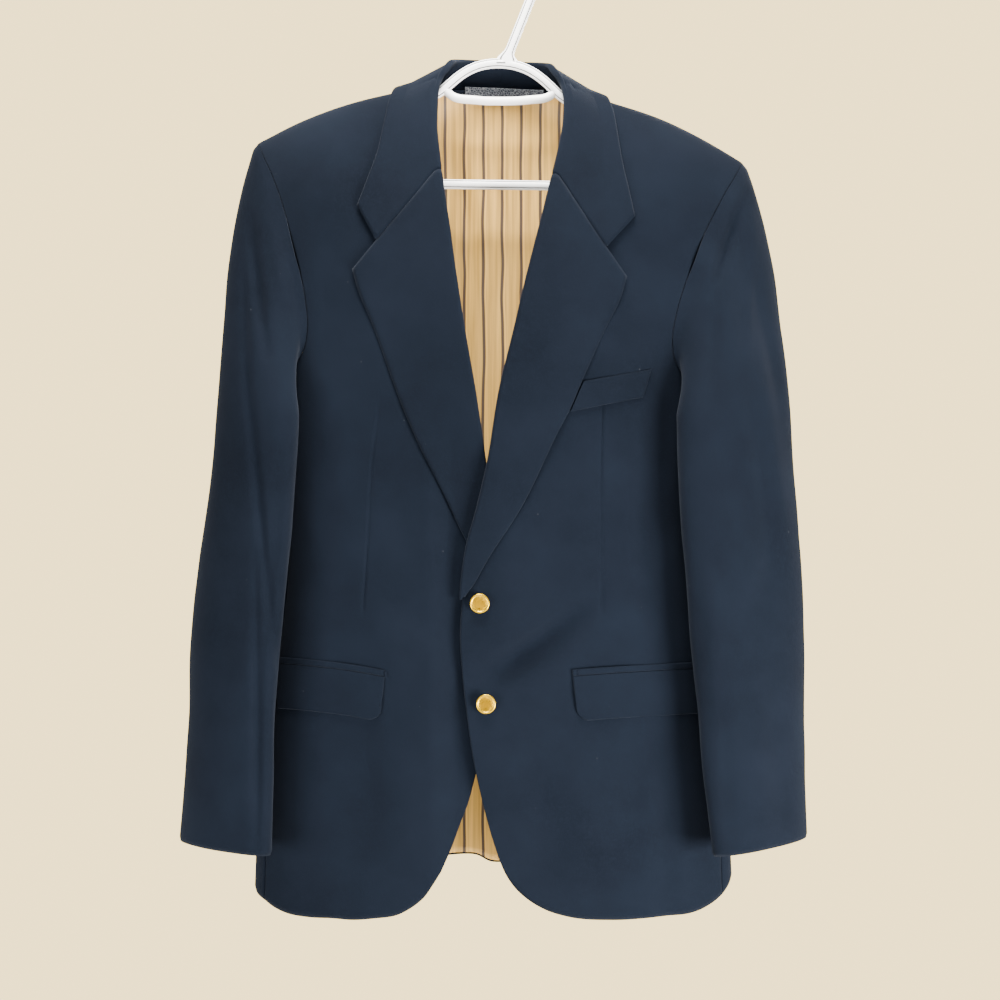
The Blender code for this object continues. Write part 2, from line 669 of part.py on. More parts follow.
def sleeve_ring(side, drop, angle):
    """Points of the sleeve's level section, before the cuff's slope, in world metres."""
    inner, outer, middle, thick, turn = np.moveaxis(spline(SLEEVES[side], drop), -1, 0)
    half = (outer - inner) / 2
    turn = np.radians(turn)
    long = np.sqrt(half ** 2 - (thick * np.sin(turn)) ** 2) / np.cos(turn)
    u, v = long * np.cos(angle), thick * np.sin(angle)
    x = (inner + outer) / 2 + u * np.cos(turn) + v * np.sin(turn)
    y = middle + u * np.sin(turn) - v * np.cos(turn)
    cuff_in, cuff_out = CUFF[side]
    start, end = SLEEVES[side][0][0], SLEEVES[side][-1][0]
    level = cuff_in + (cuff_out - cuff_in) * np.clip((x - inner) / (outer - inner), 0, 1)
    sunk = start + (level - start) * (drop - start) / (end - start)
    return np.stack([SIDES[side] * x, y, -sunk], axis=-1) * MM


def sleeve_grid(side, turns, cap_rows=7, length_rows=11):
    """Part of the sleeve, a column of points for each turn, from the armhole to the cuff."""
    loop = armhole_loop(side)
    run = run_length(loop)
    turns = np.array(turns, dtype=float)
    columns = len(turns)
    table = np.array(SLEEVE_TURN)
    share = np.interp(turns, table[:, 1], table[:, 0])
    wrapped = np.mod(share, 1.0)
    start = np.column_stack([np.interp(wrapped, run / run[-1], loop[:, k]) for k in range(3)])
    outwards = np.array([SIDES[side], 0.0, 0.0])
    radial = start - loop.mean(axis=0)
    radial[:, 0] = 0
    radial /= np.linalg.norm(radial, axis=1, keepdims=True)
    place, spread, stand = UNDERARM_STAND
    away = SLEEVE_OUT + stand * np.exp(-(((wrapped - place) / spread) ** 2))
    spread, lower, closer = SLEEVE_TOP
    on_top = np.exp(-((np.minimum(wrapped, 1 - wrapped) / spread) ** 2))
    away = away - closer * on_top
    lift = SLEEVE_LIFT - lower * on_top
    start = start + radial * lift[:, None] * MM + outwards * away[:, None] * MM
    angle = np.radians(turns)
    first = SLEEVES[side][0][0]
    ring = sleeve_ring(side, np.full(columns, float(first)), angle)
    below = sleeve_ring(side, np.full(columns, first + 20.0), angle)
    reach = np.linalg.norm(ring - start, axis=1, keepdims=True)
    out, down = SLEEVE_START
    leave = (outwards * out + np.array([0, 0, -down])) * reach * SLEEVE_START_PULL
    arrive = (below - ring) / np.linalg.norm(below - ring, axis=1, keepdims=True) * reach
    rows = []
    for v in np.linspace(0, 1, cap_rows) ** SLEEVE_ROW_POWER:
        point = (2 * v ** 3 - 3 * v ** 2 + 1) * start + (v ** 3 - 2 * v ** 2 + v) * leave
        rows.append(point + (3 * v ** 2 - 2 * v ** 3) * ring + (v ** 3 - v ** 2) * arrive)
    last = SLEEVES[side][-1][0]
    for drop in np.linspace(first, last, length_rows)[1:]:
        rows.append(sleeve_ring(side, np.full(columns, drop), angle))
    grid = np.array(rows)
    return grid - sleeve_normals(side, grid) * sleeve_fold(side, share, grid)[..., None] * MM


def sleeve_normals(side, grid):
    """Normals of a sleeve grid, pointing into the tube."""
    return grid_normals(grid) * SIDES[side]


def sleeve_fold(side, share, grid):
    """Height of the soft folds at each point of a sleeve grid, out of the tube."""
    drop = -grid[..., 2] / MM
    depth = np.zeros(drop.shape)
    for fold_side, place, start, end, half_width, fold_depth in SLEEVE_FOLDS:
        if fold_side == side:
            across = np.exp(-(((share[None, :] - place) / half_width) ** 2))
            along = between(drop, start - 50, start + 30) * (1 - between(drop, end - 30, end + 50))
            depth = depth + fold_depth * across * along
    return depth


def build_sleeves(collection):
    half = SLEEVE_SEAM_GAP / 2
    halves = {"top_sleeve": TOP_SLEEVE_ANGLES, "under_sleeve": UNDER_SLEEVE_ANGLES}
    for side in SIDES:
        for name, turns in halves.items():
            grid = drawn_in(sleeve_grid(side, turns), inner=half, outer=half)
            cloth(f"{name}_{side}", grid, "wool_navy", collection, flip=side == "left")


# ---------------------------------------------------------------- pockets, label, buttons

def build_pockets(collection):
    lift = WALL + LAYER_GAP
    for side, (start_x, start_drop, back_drop, length) in POCKETS.items():
        share = np.array(FLAP_COLUMNS)
        x = start_x + length * share
        line = start_drop + (back_drop - start_drop) * (1 - (1 - share) ** 2)
        down = np.array([0.0, 0.5, 1.0])[:, None]
        jet = body(side, np.broadcast_to(x, (3, len(x))), line + JET_HEIGHT * down, lift=lift)
        cloth(f"jet_{side}", jet, "wool_navy", collection, flip=side == "right")

        from_front = length * share
        cut = np.maximum(FLAP_CORNER - from_front, 0)
        height = FLAP_HEIGHT - (FLAP_CORNER - np.sqrt(FLAP_CORNER ** 2 - cut ** 2))
        down = np.array(FLAP_ROWS)[:, None]
        drop = line + JET_HEIGHT + FLAP_GAP + height * down
        slant = FLAP_SLANT * down * (1 - share)
        flap = body(side, x + slant, drop, lift=lift)
        cloth(f"flap_{side}", flap, "wool_navy", collection, flip=side == "right")


def build_welt(collection):
    across = np.linspace(0, 1, 9)
    top = trace(WELT_TOP, across)
    bottom = trace(WELT_BOTTOM, across)
    down = np.linspace(0, 1, 4)[:, None, None]
    flat = top[None] * (1 - down) + bottom[None] * down
    grid = body("left", flat[..., 0], flat[..., 1], lift=WALL + LAYER_GAP)
    cloth("breast_welt", grid, "wool_navy", collection)


def label_grid(columns, rows):
    x0, x1, top, bottom = LABEL
    x = x0 + (x1 - x0) * columns[None, :]
    drop = top + (bottom - top) * rows[:, None]
    x, drop = np.broadcast_arrays(x, drop)
    inset = -(WALL + LINING_GAP + LINING_WALL + LABEL_GAP)
    held = np.maximum(drop, LABEL_HELD)
    grid = body("left", x - HANGER_X, held, face=1, lift=np.full(x.shape, inset))
    grid[..., 2] += (held - drop) * MM
    return grid


def build_label(collection):
    grid = label_grid(np.linspace(0, 1, 9), np.linspace(0, 1, 4))
    cloth("neck_label", grid, "label_woven", collection, wall=LINING_WALL, offset=1.0)


def turned(name, profile, material, collection, steps=20):
    """A solid turned round its local Z from radius and height pairs, top to bottom."""
    mesh = bpy.data.meshes.new(name)
    points = [(radius, 0.0, height) for radius, height in profile]
    mesh.from_pydata(points, [(i, i + 1) for i in range(len(points) - 1)], [])
    piece = add_object(name, mesh, material, collection)
    screw = piece.modifiers.new("turn", "SCREW")
    screw.steps = steps
    screw.render_steps = steps
    screw.use_merge_vertices = True
    screw.merge_threshold = 0.00001
    return piece


def build_buttons(collection):
    disc = BUTTON_BASE_LIFT + SHANK_HEIGHT
    top = disc + BUTTON_THICKNESS
    profile = [(share * BUTTON_RADIUS, top - depth) for share, depth in BUTTON_FACE]
    profile += [(share * BUTTON_RADIUS, disc + height) for share, height in BUTTON_BACK]
    profile += [(SHANK_RADIUS, disc), (SHANK_RADIUS, BUTTON_BASE_LIFT), (0, BUTTON_BASE_LIFT)]
    profile = [(radius * MM, height * MM) for radius, height in profile]
    for name, (x, drop) in BUTTONS.items():
        piece = turned(f"button_{name}", profile, "button_gold", collection)
        centre = float(spline(CENTRE_LINE, drop)[0])
        piece.location = body("left", x - centre, drop)
        piece.rotation_euler = (math.pi / 2, 0, 0)


# ---------------------------------------------------------------- hanger

def tube(name, points, radius, collection, cyclic=False):
    """A round tube along points given as world x and drop, at y 0."""
    curve = bpy.data.curves.new(name, "CURVE")
    curve.dimensions = "3D"
    curve.bevel_depth = radius * MM
    curve.bevel_resolution = 2
    curve.use_fill_caps = not cyclic
    line = curve.splines.new("POLY")
    line.points.add(len(points) - 1)
    line.use_cyclic_u = cyclic
    for point, (x, drop) in zip(line.points, points):
        point.co = (x * MM, 0, -drop * MM, 1)
    return add_object(name, curve, "hanger_white", collection)


def hanger_outline():
    """Centre line of the hanger's closed frame, from the crown round by the wearer's left."""
    loop_radius = (BAR_DROP - LOOP_TOP) / 2
    half = [(x, drop, TILT) for x, drop in trace(ARCH + ARM + [(LOOP_X, LOOP_TOP)], np.linspace(0, 1, 17))]
    for angle in np.linspace(90, -90, 8)[1:-1]:
        x = LOOP_X + loop_radius * math.cos(math.radians(angle))
        drop = LOOP_TOP + loop_radius * (1 - math.sin(math.radians(angle)))
        share = (drop - LOOP_TOP) / (2 * loop_radius)
        half.append((x, drop, TILT + (BAR_TILT - TILT) * share))
    half += [(x, BAR_DROP, BAR_TILT) for x in (LOOP_X, 130.0, 65.0)]
    points = [(HANGER_X + x, drop + tilt * x) for x, drop, tilt in half]
    points.append((HANGER_X, BAR_DROP))
    points += [(HANGER_X - x, drop - tilt * x) for x, drop, tilt in reversed(half[1:])]
    return points


def build_hanger(collection):
    tube("hanger_frame", hanger_outline(), TUBE, collection, cyclic=True)
    bar = trace(NECK_BAR, np.linspace(0, 1, 11))
    tube("hanger_neck_bar", [(HANGER_X + x, drop) for x, drop in bar], NECK_BAR_RADIUS, collection)
    centre_drop = HOOK_RADIUS - TUBE
    hook = []
    for angle in np.radians(np.linspace(STEM_ANGLE, HOOK_END_ANGLE, 22)):
        hook.append((HOOK_RADIUS * math.cos(angle), centre_drop - HOOK_RADIUS * math.sin(angle)))
    foot = np.array(STEM_FOOT)
    joint = np.array(hook[0])
    stem = [tuple(foot + (joint - foot) * share) for share in (0.0, 0.33, 0.66)]
    tube("hanger_hook", stem + hook, TUBE, collection)


# ---------------------------------------------------------------- the whole object

def main():
    for old in list(bpy.data.objects):
        bpy.data.objects.remove(old, do_unlink=True)
    collection = bpy.data.collections.new("blazer_on_hanger")
    bpy.context.scene.collection.children.link(collection)
    build_panels(collection)
    build_lining(collection)
    build_lapels_and_collar(collection)
    build_sleeves(collection)
    build_pockets(collection)
    build_welt(collection)
    build_label(collection)
    build_buttons(collection)
    build_hanger(collection)


main()
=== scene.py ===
"""Single breasted blazer hanging on a tubular clothes hanger, as finished cloth over its solids.

The origin is the inner crown of the hanger's hook, +Z is up and the fronts face -Y. Sizes are in
millimetres until a point is placed. "left" and "right" are the wearer's, "x" is the distance from the
garment's centre line towards that side, and "drop" is the depth below the origin.
"""

import math

import bmesh
import bpy
import numpy as np
from bpy.props import FloatProperty, FloatVectorProperty, PointerProperty
from mathutils import Matrix


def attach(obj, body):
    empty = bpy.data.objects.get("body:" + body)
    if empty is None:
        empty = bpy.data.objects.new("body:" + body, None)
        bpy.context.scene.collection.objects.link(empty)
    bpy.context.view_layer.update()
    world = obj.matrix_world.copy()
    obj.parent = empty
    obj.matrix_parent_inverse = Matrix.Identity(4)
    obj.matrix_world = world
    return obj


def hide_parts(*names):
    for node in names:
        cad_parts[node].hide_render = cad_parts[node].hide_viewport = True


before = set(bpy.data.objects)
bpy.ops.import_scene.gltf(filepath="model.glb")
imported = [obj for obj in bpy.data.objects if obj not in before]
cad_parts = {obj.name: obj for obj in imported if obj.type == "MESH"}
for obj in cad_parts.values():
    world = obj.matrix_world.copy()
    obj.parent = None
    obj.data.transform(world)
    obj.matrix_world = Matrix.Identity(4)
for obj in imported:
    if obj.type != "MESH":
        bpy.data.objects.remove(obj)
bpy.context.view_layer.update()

bl_info = {
    "name": "Single breasted blazer on a hanger",
    "version": (1, 0, 0),
    "blender": (4, 5, 0),
    "location": "View3D > Sidebar > Blazer",
    "description": "Makes the blazer's cloth, sewing, buttons and hanger over its frame",
    "category": "Object",
}

MM = 0.001
SIDES = {"left": 1.0, "right": -1.0}

# Thickness of the cloth, and gaps: behind the lining and the label, at seams, under a laid-on piece.
WALL, LINING_WALL, JET_WALL, LINING_SHELL, LABEL_SHELL = 1.6, 1.0, 1.2, 0.5, 0.7
LINING_GAP, LABEL_GAP = 2.0, 2.4
SEAM_GAP, LAYER_GAP = 0.8, 0.6

# The garment hangs a little lower on the wearer's left: slope, and the drops between which it fades.
TILT, TILT_FULL, TILT_END = 0.04, 300.0, 700.0
# Centre line: drop, x in the world.
CENTRE_LINE = [(90, -2), (200, -3), (300, -9.5), (380, -13), (520, -13), (700, -11), (980, -9.5)]
# Level sections of the body: drop, half width, depth of the front, depth of the back.
SECTIONS = [
    (80, 275, 50, 42), (200, 275, 54, 44), (300, 252, 58, 48), (380, 234, 60, 50), (440, 226, 60, 50),
    (552, 218, 58, 48), (620, 218, 57, 47), (720, 230, 59, 49), (850, 241, 60, 50), (980, 247, 60, 50),
]
SECTION_POWER = 2.5

# Shoulder line: its drop where it leaves the collar, its slope, and its fall towards the sleeve.
RIDGE_X, RIDGE_DROP, RIDGE_SLOPE = 105.0, 136.0, 0.27
RIDGE_BEND, RIDGE_FALL = 130.0, 0.0014
NECK_HALF, NECK_RISE = 72.5, 0.58
SHOULDER_HALF = 249.0
# How far below the shoulder line the cloth reaches its full depth: near the neck, at the sleeve.
FRONT_ROUNDING = (235.0, 110.0)
BACK_ROUNDING = (70.0, 110.0)
ROUNDING_FROM, ROUNDING_TO = 70.0, 180.0

# Armhole from the shoulder to the side panel: x, drop. It goes on round the side panel's top.
ARMHOLE = [
    (249, 195), (244, 206), (231, 230), (219, 256), (211, 277), (203, 302), (194, 330), (187.5, 358),
    (184.5, 384), (187.5, 404), (196.3, 420),
]
# Shares of the armhole's length at the rows of a panel: close together on the rounded shoulder.
ARMHOLE_ROWS = (0, 0.01, 0.04, 0.09, 0.16, 0.26, 0.38, 0.51, 0.64, 0.77, 0.89, 1)
UNDERARM_DROP, UNDERARM_RISE = 440.0, 20.0
# Seam of the side panel: drop, share of the half width. It runs further back below the armhole.
SIDE_SEAM = [(420, 0.86), (480, 0.89), (580, 0.94), (720, 0.95), (980, 0.95)]

# Front edge: drop, x. It is the lapel's roll line down to the break, then the edge of the front.
BREAK_DROP = 652.0
FRONT_EDGE = {
    "left": [
        (148, 64.6), (171, 63.1), (196, 58.8), (222, 53.8), (273, 45), (346, 30.8), (379, 24.5), (442, 10),
        (517, -3), (571, -16.5), (596, -23.7), (626, -29), (652, -31.5), (688, -32), (727, -30), (765, -26),
        (811, -19.6), (843, -13), (883, -3), (912, 6),
    ],
    "right": [
        (148, 64.6), (180, 64.4), (209, 60.3), (243, 53.8), (282, 45), (327, 36.3), (382, 25.5),
        (440, 14.8), (517, 4), (580, -5), (642, -13.5), (700, -12), (740, -6), (790, 4.5), (830, 17.7),
        (856, 24.8), (877, 33), (899, 41.1), (924, 52.2),
    ],
}
# Hem of each front from its rounded corner to the side seam: x, drop.
FRONT_HEM = {
    "left": [
        (6, 912), (12.7, 927), (20.7, 939), (34.6, 952), (53.6, 963), (72.5, 969), (120.5, 973.5),
        (150.5, 972.5), (174.5, 971), (198.5, 970), (212.4, 966.5), (224.5, 960.8), (233.6, 954.5),
    ],
    "right": [
        (52.2, 924), (60.3, 937), (69.4, 950), (81.4, 960), (96.5, 968), (119.5, 972), (142.5, 974),
        (162, 973), (188, 973), (212.4, 970), (225.5, 965.2), (233.7, 960),
    ],
}
# Hem of each side panel: drop at the front seam, at the side, at the back seam.
SIDE_HEM = {"left": (954.5, 939, 937), "right": (960, 951, 945)}
# Back from its centre seam outwards: neck edge and hem, x, drop.
BACK_NECK = [(0, 124), (20, 124.6), (42, 126), (60, 127), (72.5, 127.2)]
BACK_HEM = [(0, 929), (70, 930), (150, 935)]
# The right front passes under the left one: how far back, and where that fades.
UNDERLAP = 8.0
UNDERLAP_X = (33.0, 66.0)
UNDERLAP_TOP, UNDERLAP_END = (450.0, 525.0), (860.0, 930.0)

# Lapel: outer edge from the tip to the break, x, drop.
LAPEL_EDGE = {
    "left": [
        (134.5, 322.5), (129.5, 343.6), (115.2, 376.5), (92, 431), (79, 461.5), (70, 478.5), (29.5, 561),
        (-4, 612), (-19.3, 638), (-27, 648),
    ],
    "right": [
        (140, 326), (134.6, 342.8), (117.4, 381), (81, 475), (59.2, 522), (43, 554.5), (23.7, 594),
        (0, 634), (-9.5, 647),
    ],
}
GORGE_DROP = 222.0
# Radius of the lapel's roll: drop, radius.
ROLL_RADIUS = {
    "left": [(120, 3.5), (400, 3.2), (560, 2.4), (655, 1.3)],
    "right": [(120, 3.5), (400, 2.6), (500, 1.8), (560, 1.4), (655, 1.1)],
}
LAPEL_LIFT = 2.9

# Collar stations from the centre back to the gorge: station, seam, fold and outer edge (x, y, drop
# each), the way the fall faces and the way the fold points, in degrees.
COLLAR = [
    (0.00, 0, 41.2, 122.9, 0, 45, 91, 0, 57, 138, 90, 90),
    (0.16, 34, 35, 124.6, 30, 40, 92, 44, 51, 140, 62, 90),
    (0.32, 60, 18, 125.4, 45, 26, 95, 84, 36, 140, 32, 88),
    (0.39, 67, 9, 125.3, 49.5, 18, 97, 99, 23, 135.5, 16, 85),
    (0.46, 71, 0, 125.6, 52, 9, 100, 107, 5, 131, 0, 80),
    (0.58, 69.6, -15, 136, 58, -8, 115, 113, -19, 146, -40, 45),
    (0.70, 68.2, -25, 152, 64.6, -28, 149, 117.5, -33, 173, -78, 10),
    (0.80, 66.8, -31, 173, 63.8, -34, 172, 123, -40, 205, -90, 0),
    (0.90, 62.6, -37, 198, 59.0, -40, 197, 131.5, -45, 236, -90, 0),
    (1.00, 57.3, -42, 222, 53.8, -45, 222, 139, -48, 262, -90, 0),
]
COLLAR_ON_BODY = (0.52, 0.72)
COLLAR_LIFT, COLLAR_ROLL = 3.4, 3.2
# The notch: its share of the way from the roll line to the lapel's tip, and across the collar.
NOTCH_SHARE, NOTCH_ACROSS = 0.72, 0.68
# Shares of the way across the collar's fall at its columns, closer together at its edge.
COLLAR_COLUMNS = np.unique(np.append(np.linspace(0.04, 1, 26), [0.95, 0.97, 0.98, 0.99, 0.997]).round(5))

# Sleeves: drop, inner edge, outer edge, middle y, half thickness, turn in degrees.
SLEEVES = {
    "left": [
        (470, 173, 292, -43, 27, 20), (552, 176, 297.5, -45, 27, 21), (613, 181, 302.5, -44, 27, 22),
        (695, 186.5, 304.5, -47, 26, 22), (759, 193, 305.5, -49, 25, 23), (812, 196, 306.6, -50, 24, 24),
        (861, 202, 307, -51, 23, 25), (912, 208, 308, -52, 23, 26),
    ],
    "right": [
        (470, 205, 292, -43, 24, 26), (552, 209.5, 299.2, -43, 25, 28), (613, 214, 308.5, -43, 25, 30),
        (668, 220, 314.6, -43, 25, 31), (725, 225.6, 319.2, -43, 25, 32), (774, 228, 320.8, -43, 24, 32),
        (836, 229, 323.8, -45, 24, 32), (912, 231, 329, -47, 23, 32),
    ],
}
# Drop of each cuff at its inner and its outer edge.
CUFF = {"left": (906, 893), "right": (905, 898)}
# Fraction of the way round the armhole from its top, and the angle round the sleeve, in degrees.
SLEEVE_TURN = [
    (-0.36, -55), (-0.30, -44), (-0.15, -20), (0, 10), (0.2, 88), (0.37, 165), (0.41, 192), (0.45, 240),
    (0.5, 274), (0.55, 290), (0.6, 299), (0.64, 305), (0.7, 316), (0.85, 340), (1, 370),
]
# Angles at the columns of the top sleeve and of the under sleeve.
TOP_SLEEVE_ANGLES = (
    -55, -42, -28, -16, -6, 2, 10, 16, 24, 38, 56, 76, 96, 116, 134, 150, 166, 182, 198, 214,
)
UNDER_SLEEVE_ANGLES = (214, 228, 242, 256, 269, 281, 291, 299, 305)
# How far the sleeve's head stands off the armhole. On the shoulder it starts lower and closer: how far
# round, how much lower, how much closer. Under the arm it stands off the side panel: place round the
# armhole, how far round, by how much.
SLEEVE_LIFT, SLEEVE_OUT = 3.4, 3.4
SLEEVE_TOP = (0.07, 4.4, 0.9)
UNDERARM_STAND = (0.585, 0.06, 8.0)
# How the sleeve leaves the armhole: outwards, downwards, and how strongly.
SLEEVE_START, SLEEVE_START_PULL = (0.38, 0.92), 0.8
# The head is let down to the seam over so many millimetres: for each one that it stands off, and inwards.
SEAT_SLOPE, SEAT_FAR = 3.4, 32.0
# Shares of the way down the sleeve's head at its rows, close together at the seam.
HEAD_ROWS = (0, 0.0016, 0.0035, 0.006, 0.009, 0.013, 0.018, 0.025, 0.034, 0.046, 0.062, 0.082, 0.106, 0.134)
HEAD_FINE = 26

# Lower pockets: where the jet starts (x, drop), its drop further back, and its length.
POCKETS = {"left": (80.4, 721.7, 716.5, 138.0), "right": (107.8, 722.5, 712.0, 110.0)}
JET_HEIGHT, FLAP_HEIGHT, FLAP_CORNER, FLAP_GAP, FLAP_SLANT, FLAP_BOW = 6.5, 45.0, 15.0, 0.5, 3.0, 0.9
# Breast welt: its corners along the top and along the bottom, x, drop.
WELT_TOP = [(94.5, 430), (163, 415)]
WELT_BOTTOM = [(81, 461.5), (155, 444)]

# Front darts: drop, x in the world; their share of the panel's width, lines beside them, and how far
# above and below a dart its line leads back; how deep and how wide the seam's ditch is, and where it
# starts and ends.
FRONT_DART = {
    "left": [(443, 100.5), (552, 98.6), (663, 98.0)],
    "right": [(443, -122.0), (513, -131.0), (602, -136.4), (662, -140.8)],
}
DART_PLACE = {"left": 0.52, "right": 0.6}
DART_BESIDE, DART_CLEAR, DART_LEAD = (0.003, 0.006, 0.011, 0.020), 0.022, 190
DART_DEPTH, DART_HALF, DART_STARTS, DART_ENDS = 1.6, 0.65, (-4, 22), (-3, 3)

# Folds of the form and creases of the fronts, the back and the sleeves' fronts and backs: from x, drop,
# to x, drop, half width, depth (a ridge is negative).
BODY_FOLDS = {
    "left": [(-20, 738, 84, 690, 17, 3.0), (146, 780, 136, 900, 18, 3.0)],
    "right": [(60, 560, 150, 640, 24, 2.5), (150, 800, 130, 930, 22, 2.5)],
}
FRONT_CREASES = {
    "left": [
        (-12, 736, 104, 654, 15, 12.0), (-20, 700, 50, 668, 15, -1.8), (6, 600, 60, 640, 18, 1.8),
        (175, 470, 150, 640, 15, 2.2), (150, 470, 134, 640, 15, -1.4), (95, 300, 120, 420, 24, -2.0),
        (150, 290, 168, 420, 16, 2.0), (60, 470, 84, 560, 20, 1.4), (180, 800, 172, 940, 12, 1.8),
        (40, 800, 58, 900, 16, 1.4),
    ],
    "right": [
        (120, 300, 100, 430, 26, -2.2), (160, 280, 172, 400, 16, 2.0), (12, 736, -104, 654, 15, 12.0),
        (12, 600, 26, 760, 14, 1.6), (30, 700, 110, 650, 16, 2.0), (100, 480, 90, 640, 18, 1.6),
        (130, 780, 118, 900, 12, 1.6), (172, 460, 160, 640, 14, 2.0),
    ],
}
BACK_CREASES = {
    "left": [(20, 240, 120, 210, 20, 1.2), (150, 430, 90, 560, 24, 2.2), (90, 640, 60, 860, 22, 2.0)],
    "right": [
        (30, 250, 130, 205, 22, 1.4), (140, 420, 100, 600, 26, 2.0), (80, 600, 96, 880, 24, 2.4),
        (170, 620, 150, 800, 16, 1.6),
    ],
}
SLEEVE_CREASES = {
    "left": [
        (264, 266, 258, 420, 3.5, -2.4), (254, 240, 222, 344, 6, 7.0), (228, 326, 220, 460, 7, 2.2),
        (230, 470, 262, 600, 13, 1.8), (286, 560, 262, 700, 14, 1.8), (226, 700, 234, 880, 8, 1.6),
        (268, 390, 300, 620, 10, -2.6), (252, 400, 284, 630, 8, 1.6), (276, 720, 288, 880, 14, 1.6),
    ],
    "right": [
        (251, 264, 222, 408, 5.5, 4.6), (243, 420, 214, 716, 4.5, 3.8), (254, 300, 240, 470, 4, 2.2),
        (233, 600, 234, 900, 4, 3.2), (222, 560, 224, 860, 8, -0.9), (280, 420, 258, 560, 14, 1.8),
        (256, 640, 282, 760, 14, 1.6),
    ],
}
SLEEVE_BACK_CREASES = {
    "left": [
        (240, 260, 262, 420, 14, 2.4), (250, 480, 284, 640, 16, 2.6), (282, 560, 258, 720, 16, 2.2),
        (270, 700, 280, 880, 14, 1.8),
    ],
    "right": [
        (238, 270, 262, 430, 14, 2.6), (272, 460, 246, 620, 16, 2.4), (244, 580, 280, 740, 16, 2.2),
        (262, 740, 256, 880, 14, 1.6),
    ],
}
# Sleeve folds: place round the armhole, from drop, to drop, half width, height (a trough is negative).
SLEEVE_FOLDS = {
    "left": [(0.20, 290, 430, 0.035, 4.0), (0.10, 280, 440, 0.030, -2.5), (0.30, 640, 800, 0.040, 3.0)],
    "right": [(0.22, 230, 390, 0.040, 4.0), (0.34, 560, 860, 0.025, -2.0)],
}
# Where the creases start below the neck, and how far from the sleeve's head and from a seam.
CREASE_TOP, CREASE_HEAD, SEAM_CALM = (130, 230), (4, 34), 22.0
# Which normals face forward on a sleeve, and how far its folds fade beyond and within their ends.
SLEEVE_FORWARD, FOLD_BEYOND, FOLD_WITHIN = (-0.1, 0.35), 50, 30
# One full wave, and the slight unevenness of hanging cloth: wavelength across, wavelength down, start,
# height.
WAVE = 6.283
UNEVEN = [(148, 213, 0.4, 1.1), (91, 127, 1.9, 0.7), (57, 83, 3.1, 0.35), (37, 49, 5.2, 0.16)]

# Rows and columns of the finished cloth, as parts of each step of the tables above, and lines close to
# a panel's edges, in shares of its width, so that the edges can turn.
PANEL_PARTS, SLEEVE_PARTS = 8, 5
NEAR_EDGE = (0.004, 0.010, 0.018, 0.030)
# Half of the gap left in a sewn seam, and how edges turn in: width, depth.
SEAM_HALF = 0.02
SEAM_TURN, FREE_TURN, GORGE_TURN = (0.9, 0.9), (2.2, 1.2), (0.7, 0.5)
JET_TURN, JET_END_TURN, WELT_TURN = (1.8, 0.6), (1.5, 0.6), (4.0, 1.3)
# The wave in the back's hem: where, how high, how far up, how steep and how far across; and the dent in
# its middle: how deep and how wide.
HEM_WAVE_X, HEM_WAVE, HEM_WAVE_RISE, HEM_WAVE_STEP, HEM_WAVE_REACH = -20.0, 5.0, 70.0, 8.0, 60.0
HEM_DENT, HEM_DENT_HALF = 3.0, 14.0

# Lining: the row of the back where it starts, how far it stops short of the hem and of the sides; the
# middle of the neck, half its width, and how far the top edge rises at its ends; depth of its folds.
LINING_FROM_ROW, LINING_HEM_INSET, LINING_SIDE_INSET = 2, 2.6, 3.0
LINING_MIDDLE, LINING_NECK_HALF, LINING_NECK_RISE = 0.0, 58.0, 0.75
LINING_FOLD = 1.7
# Woven label inside the neck: world x from, to; drop from, to; the drop above which it stands straight
# up from the lining, in front of the collar; and the share of it above the hanger's inner bar.
LABEL = (-41.0, 45.0, 119.5, 137.0)
LABEL_HELD, LABEL_SHOWN = 133.0, 0.75

# The lapel's buttonhole: its ends (x, drop), the step and the length of its stitches.
LAPEL_HOLE = [(93.2, 329.8), (109.2, 352.3)]
HOLE_STEP, HOLE_STITCH = 0.7, 1.5
# How a stitch swells along its length: share of the way, share of its radius.
STITCH_SWELL = ((0.0, 0.35), (0.12, 0.85), (0.5, 1.0), (0.88, 0.85), (1.0, 0.35))
# Bar tacks at the ends of the pocket mouths: side, x, drop, length.
TACKS = [("left", 86.0, 722.0, 6.0), ("right", 106.5, 724.0, 6.0)]
# Metal buttons on a shank: world x, drop; sizes; and the face from its middle round the rim, as a share
# of the radius and a depth below the highest point.
BUTTONS = {"upper": (-23.3, 655.4), "lower": (-17.0, 755.7)}
BUTTON_RADIUS, BUTTON_THICKNESS, SHANK_RADIUS, SHANK_HEIGHT = 9.8, 2.6, 2.2, 2.6
BUTTON_BASE_LIFT, BUTTON_STEPS = 0.8, 72
BUTTON_FACE = [
    (0.0, 0.55), (0.25, 0.5), (0.5, 0.42), (0.68, 0.55), (0.75, 0.8), (0.79, 0.75), (0.82, 0.3),
    (0.86, 0.05), (0.92, 0.0), (0.97, 0.2), (1.0, 0.7), (1.0, 1.3), (0.96, 1.8), (0.88, 2.2),
]

# Hanger: tube radius, steps round it, arch and arm centre line (x, drop), end loop, lower bar.
TUBE, TUBE_STEPS, HANGER_X = 5.0, 112, -2.0
ARCH = [(0, 102), (14, 103.2), (28, 107.5), (42, 116), (53, 126), (62, 134.5)]
ARM = [(70, 139.5), (85, 142), (120, 150), (160, 162), (178, 169.5)]
LOOP_X, LOOP_TOP, BAR_DROP, BAR_TILT = 195.0, 179.5, 227.5, 0.014
# How many times the corners of its line are eased.
EASE_TIMES = 6
# Its inner bar with its ends inside the arch.
NECK_BAR = [(-57.0, 130.2), (-50.3, 136.0), (-28, 140), (0, 141.2), (28, 140), (50.3, 136.0), (57.0, 130.2)]
NECK_BAR_RADIUS = 4.4
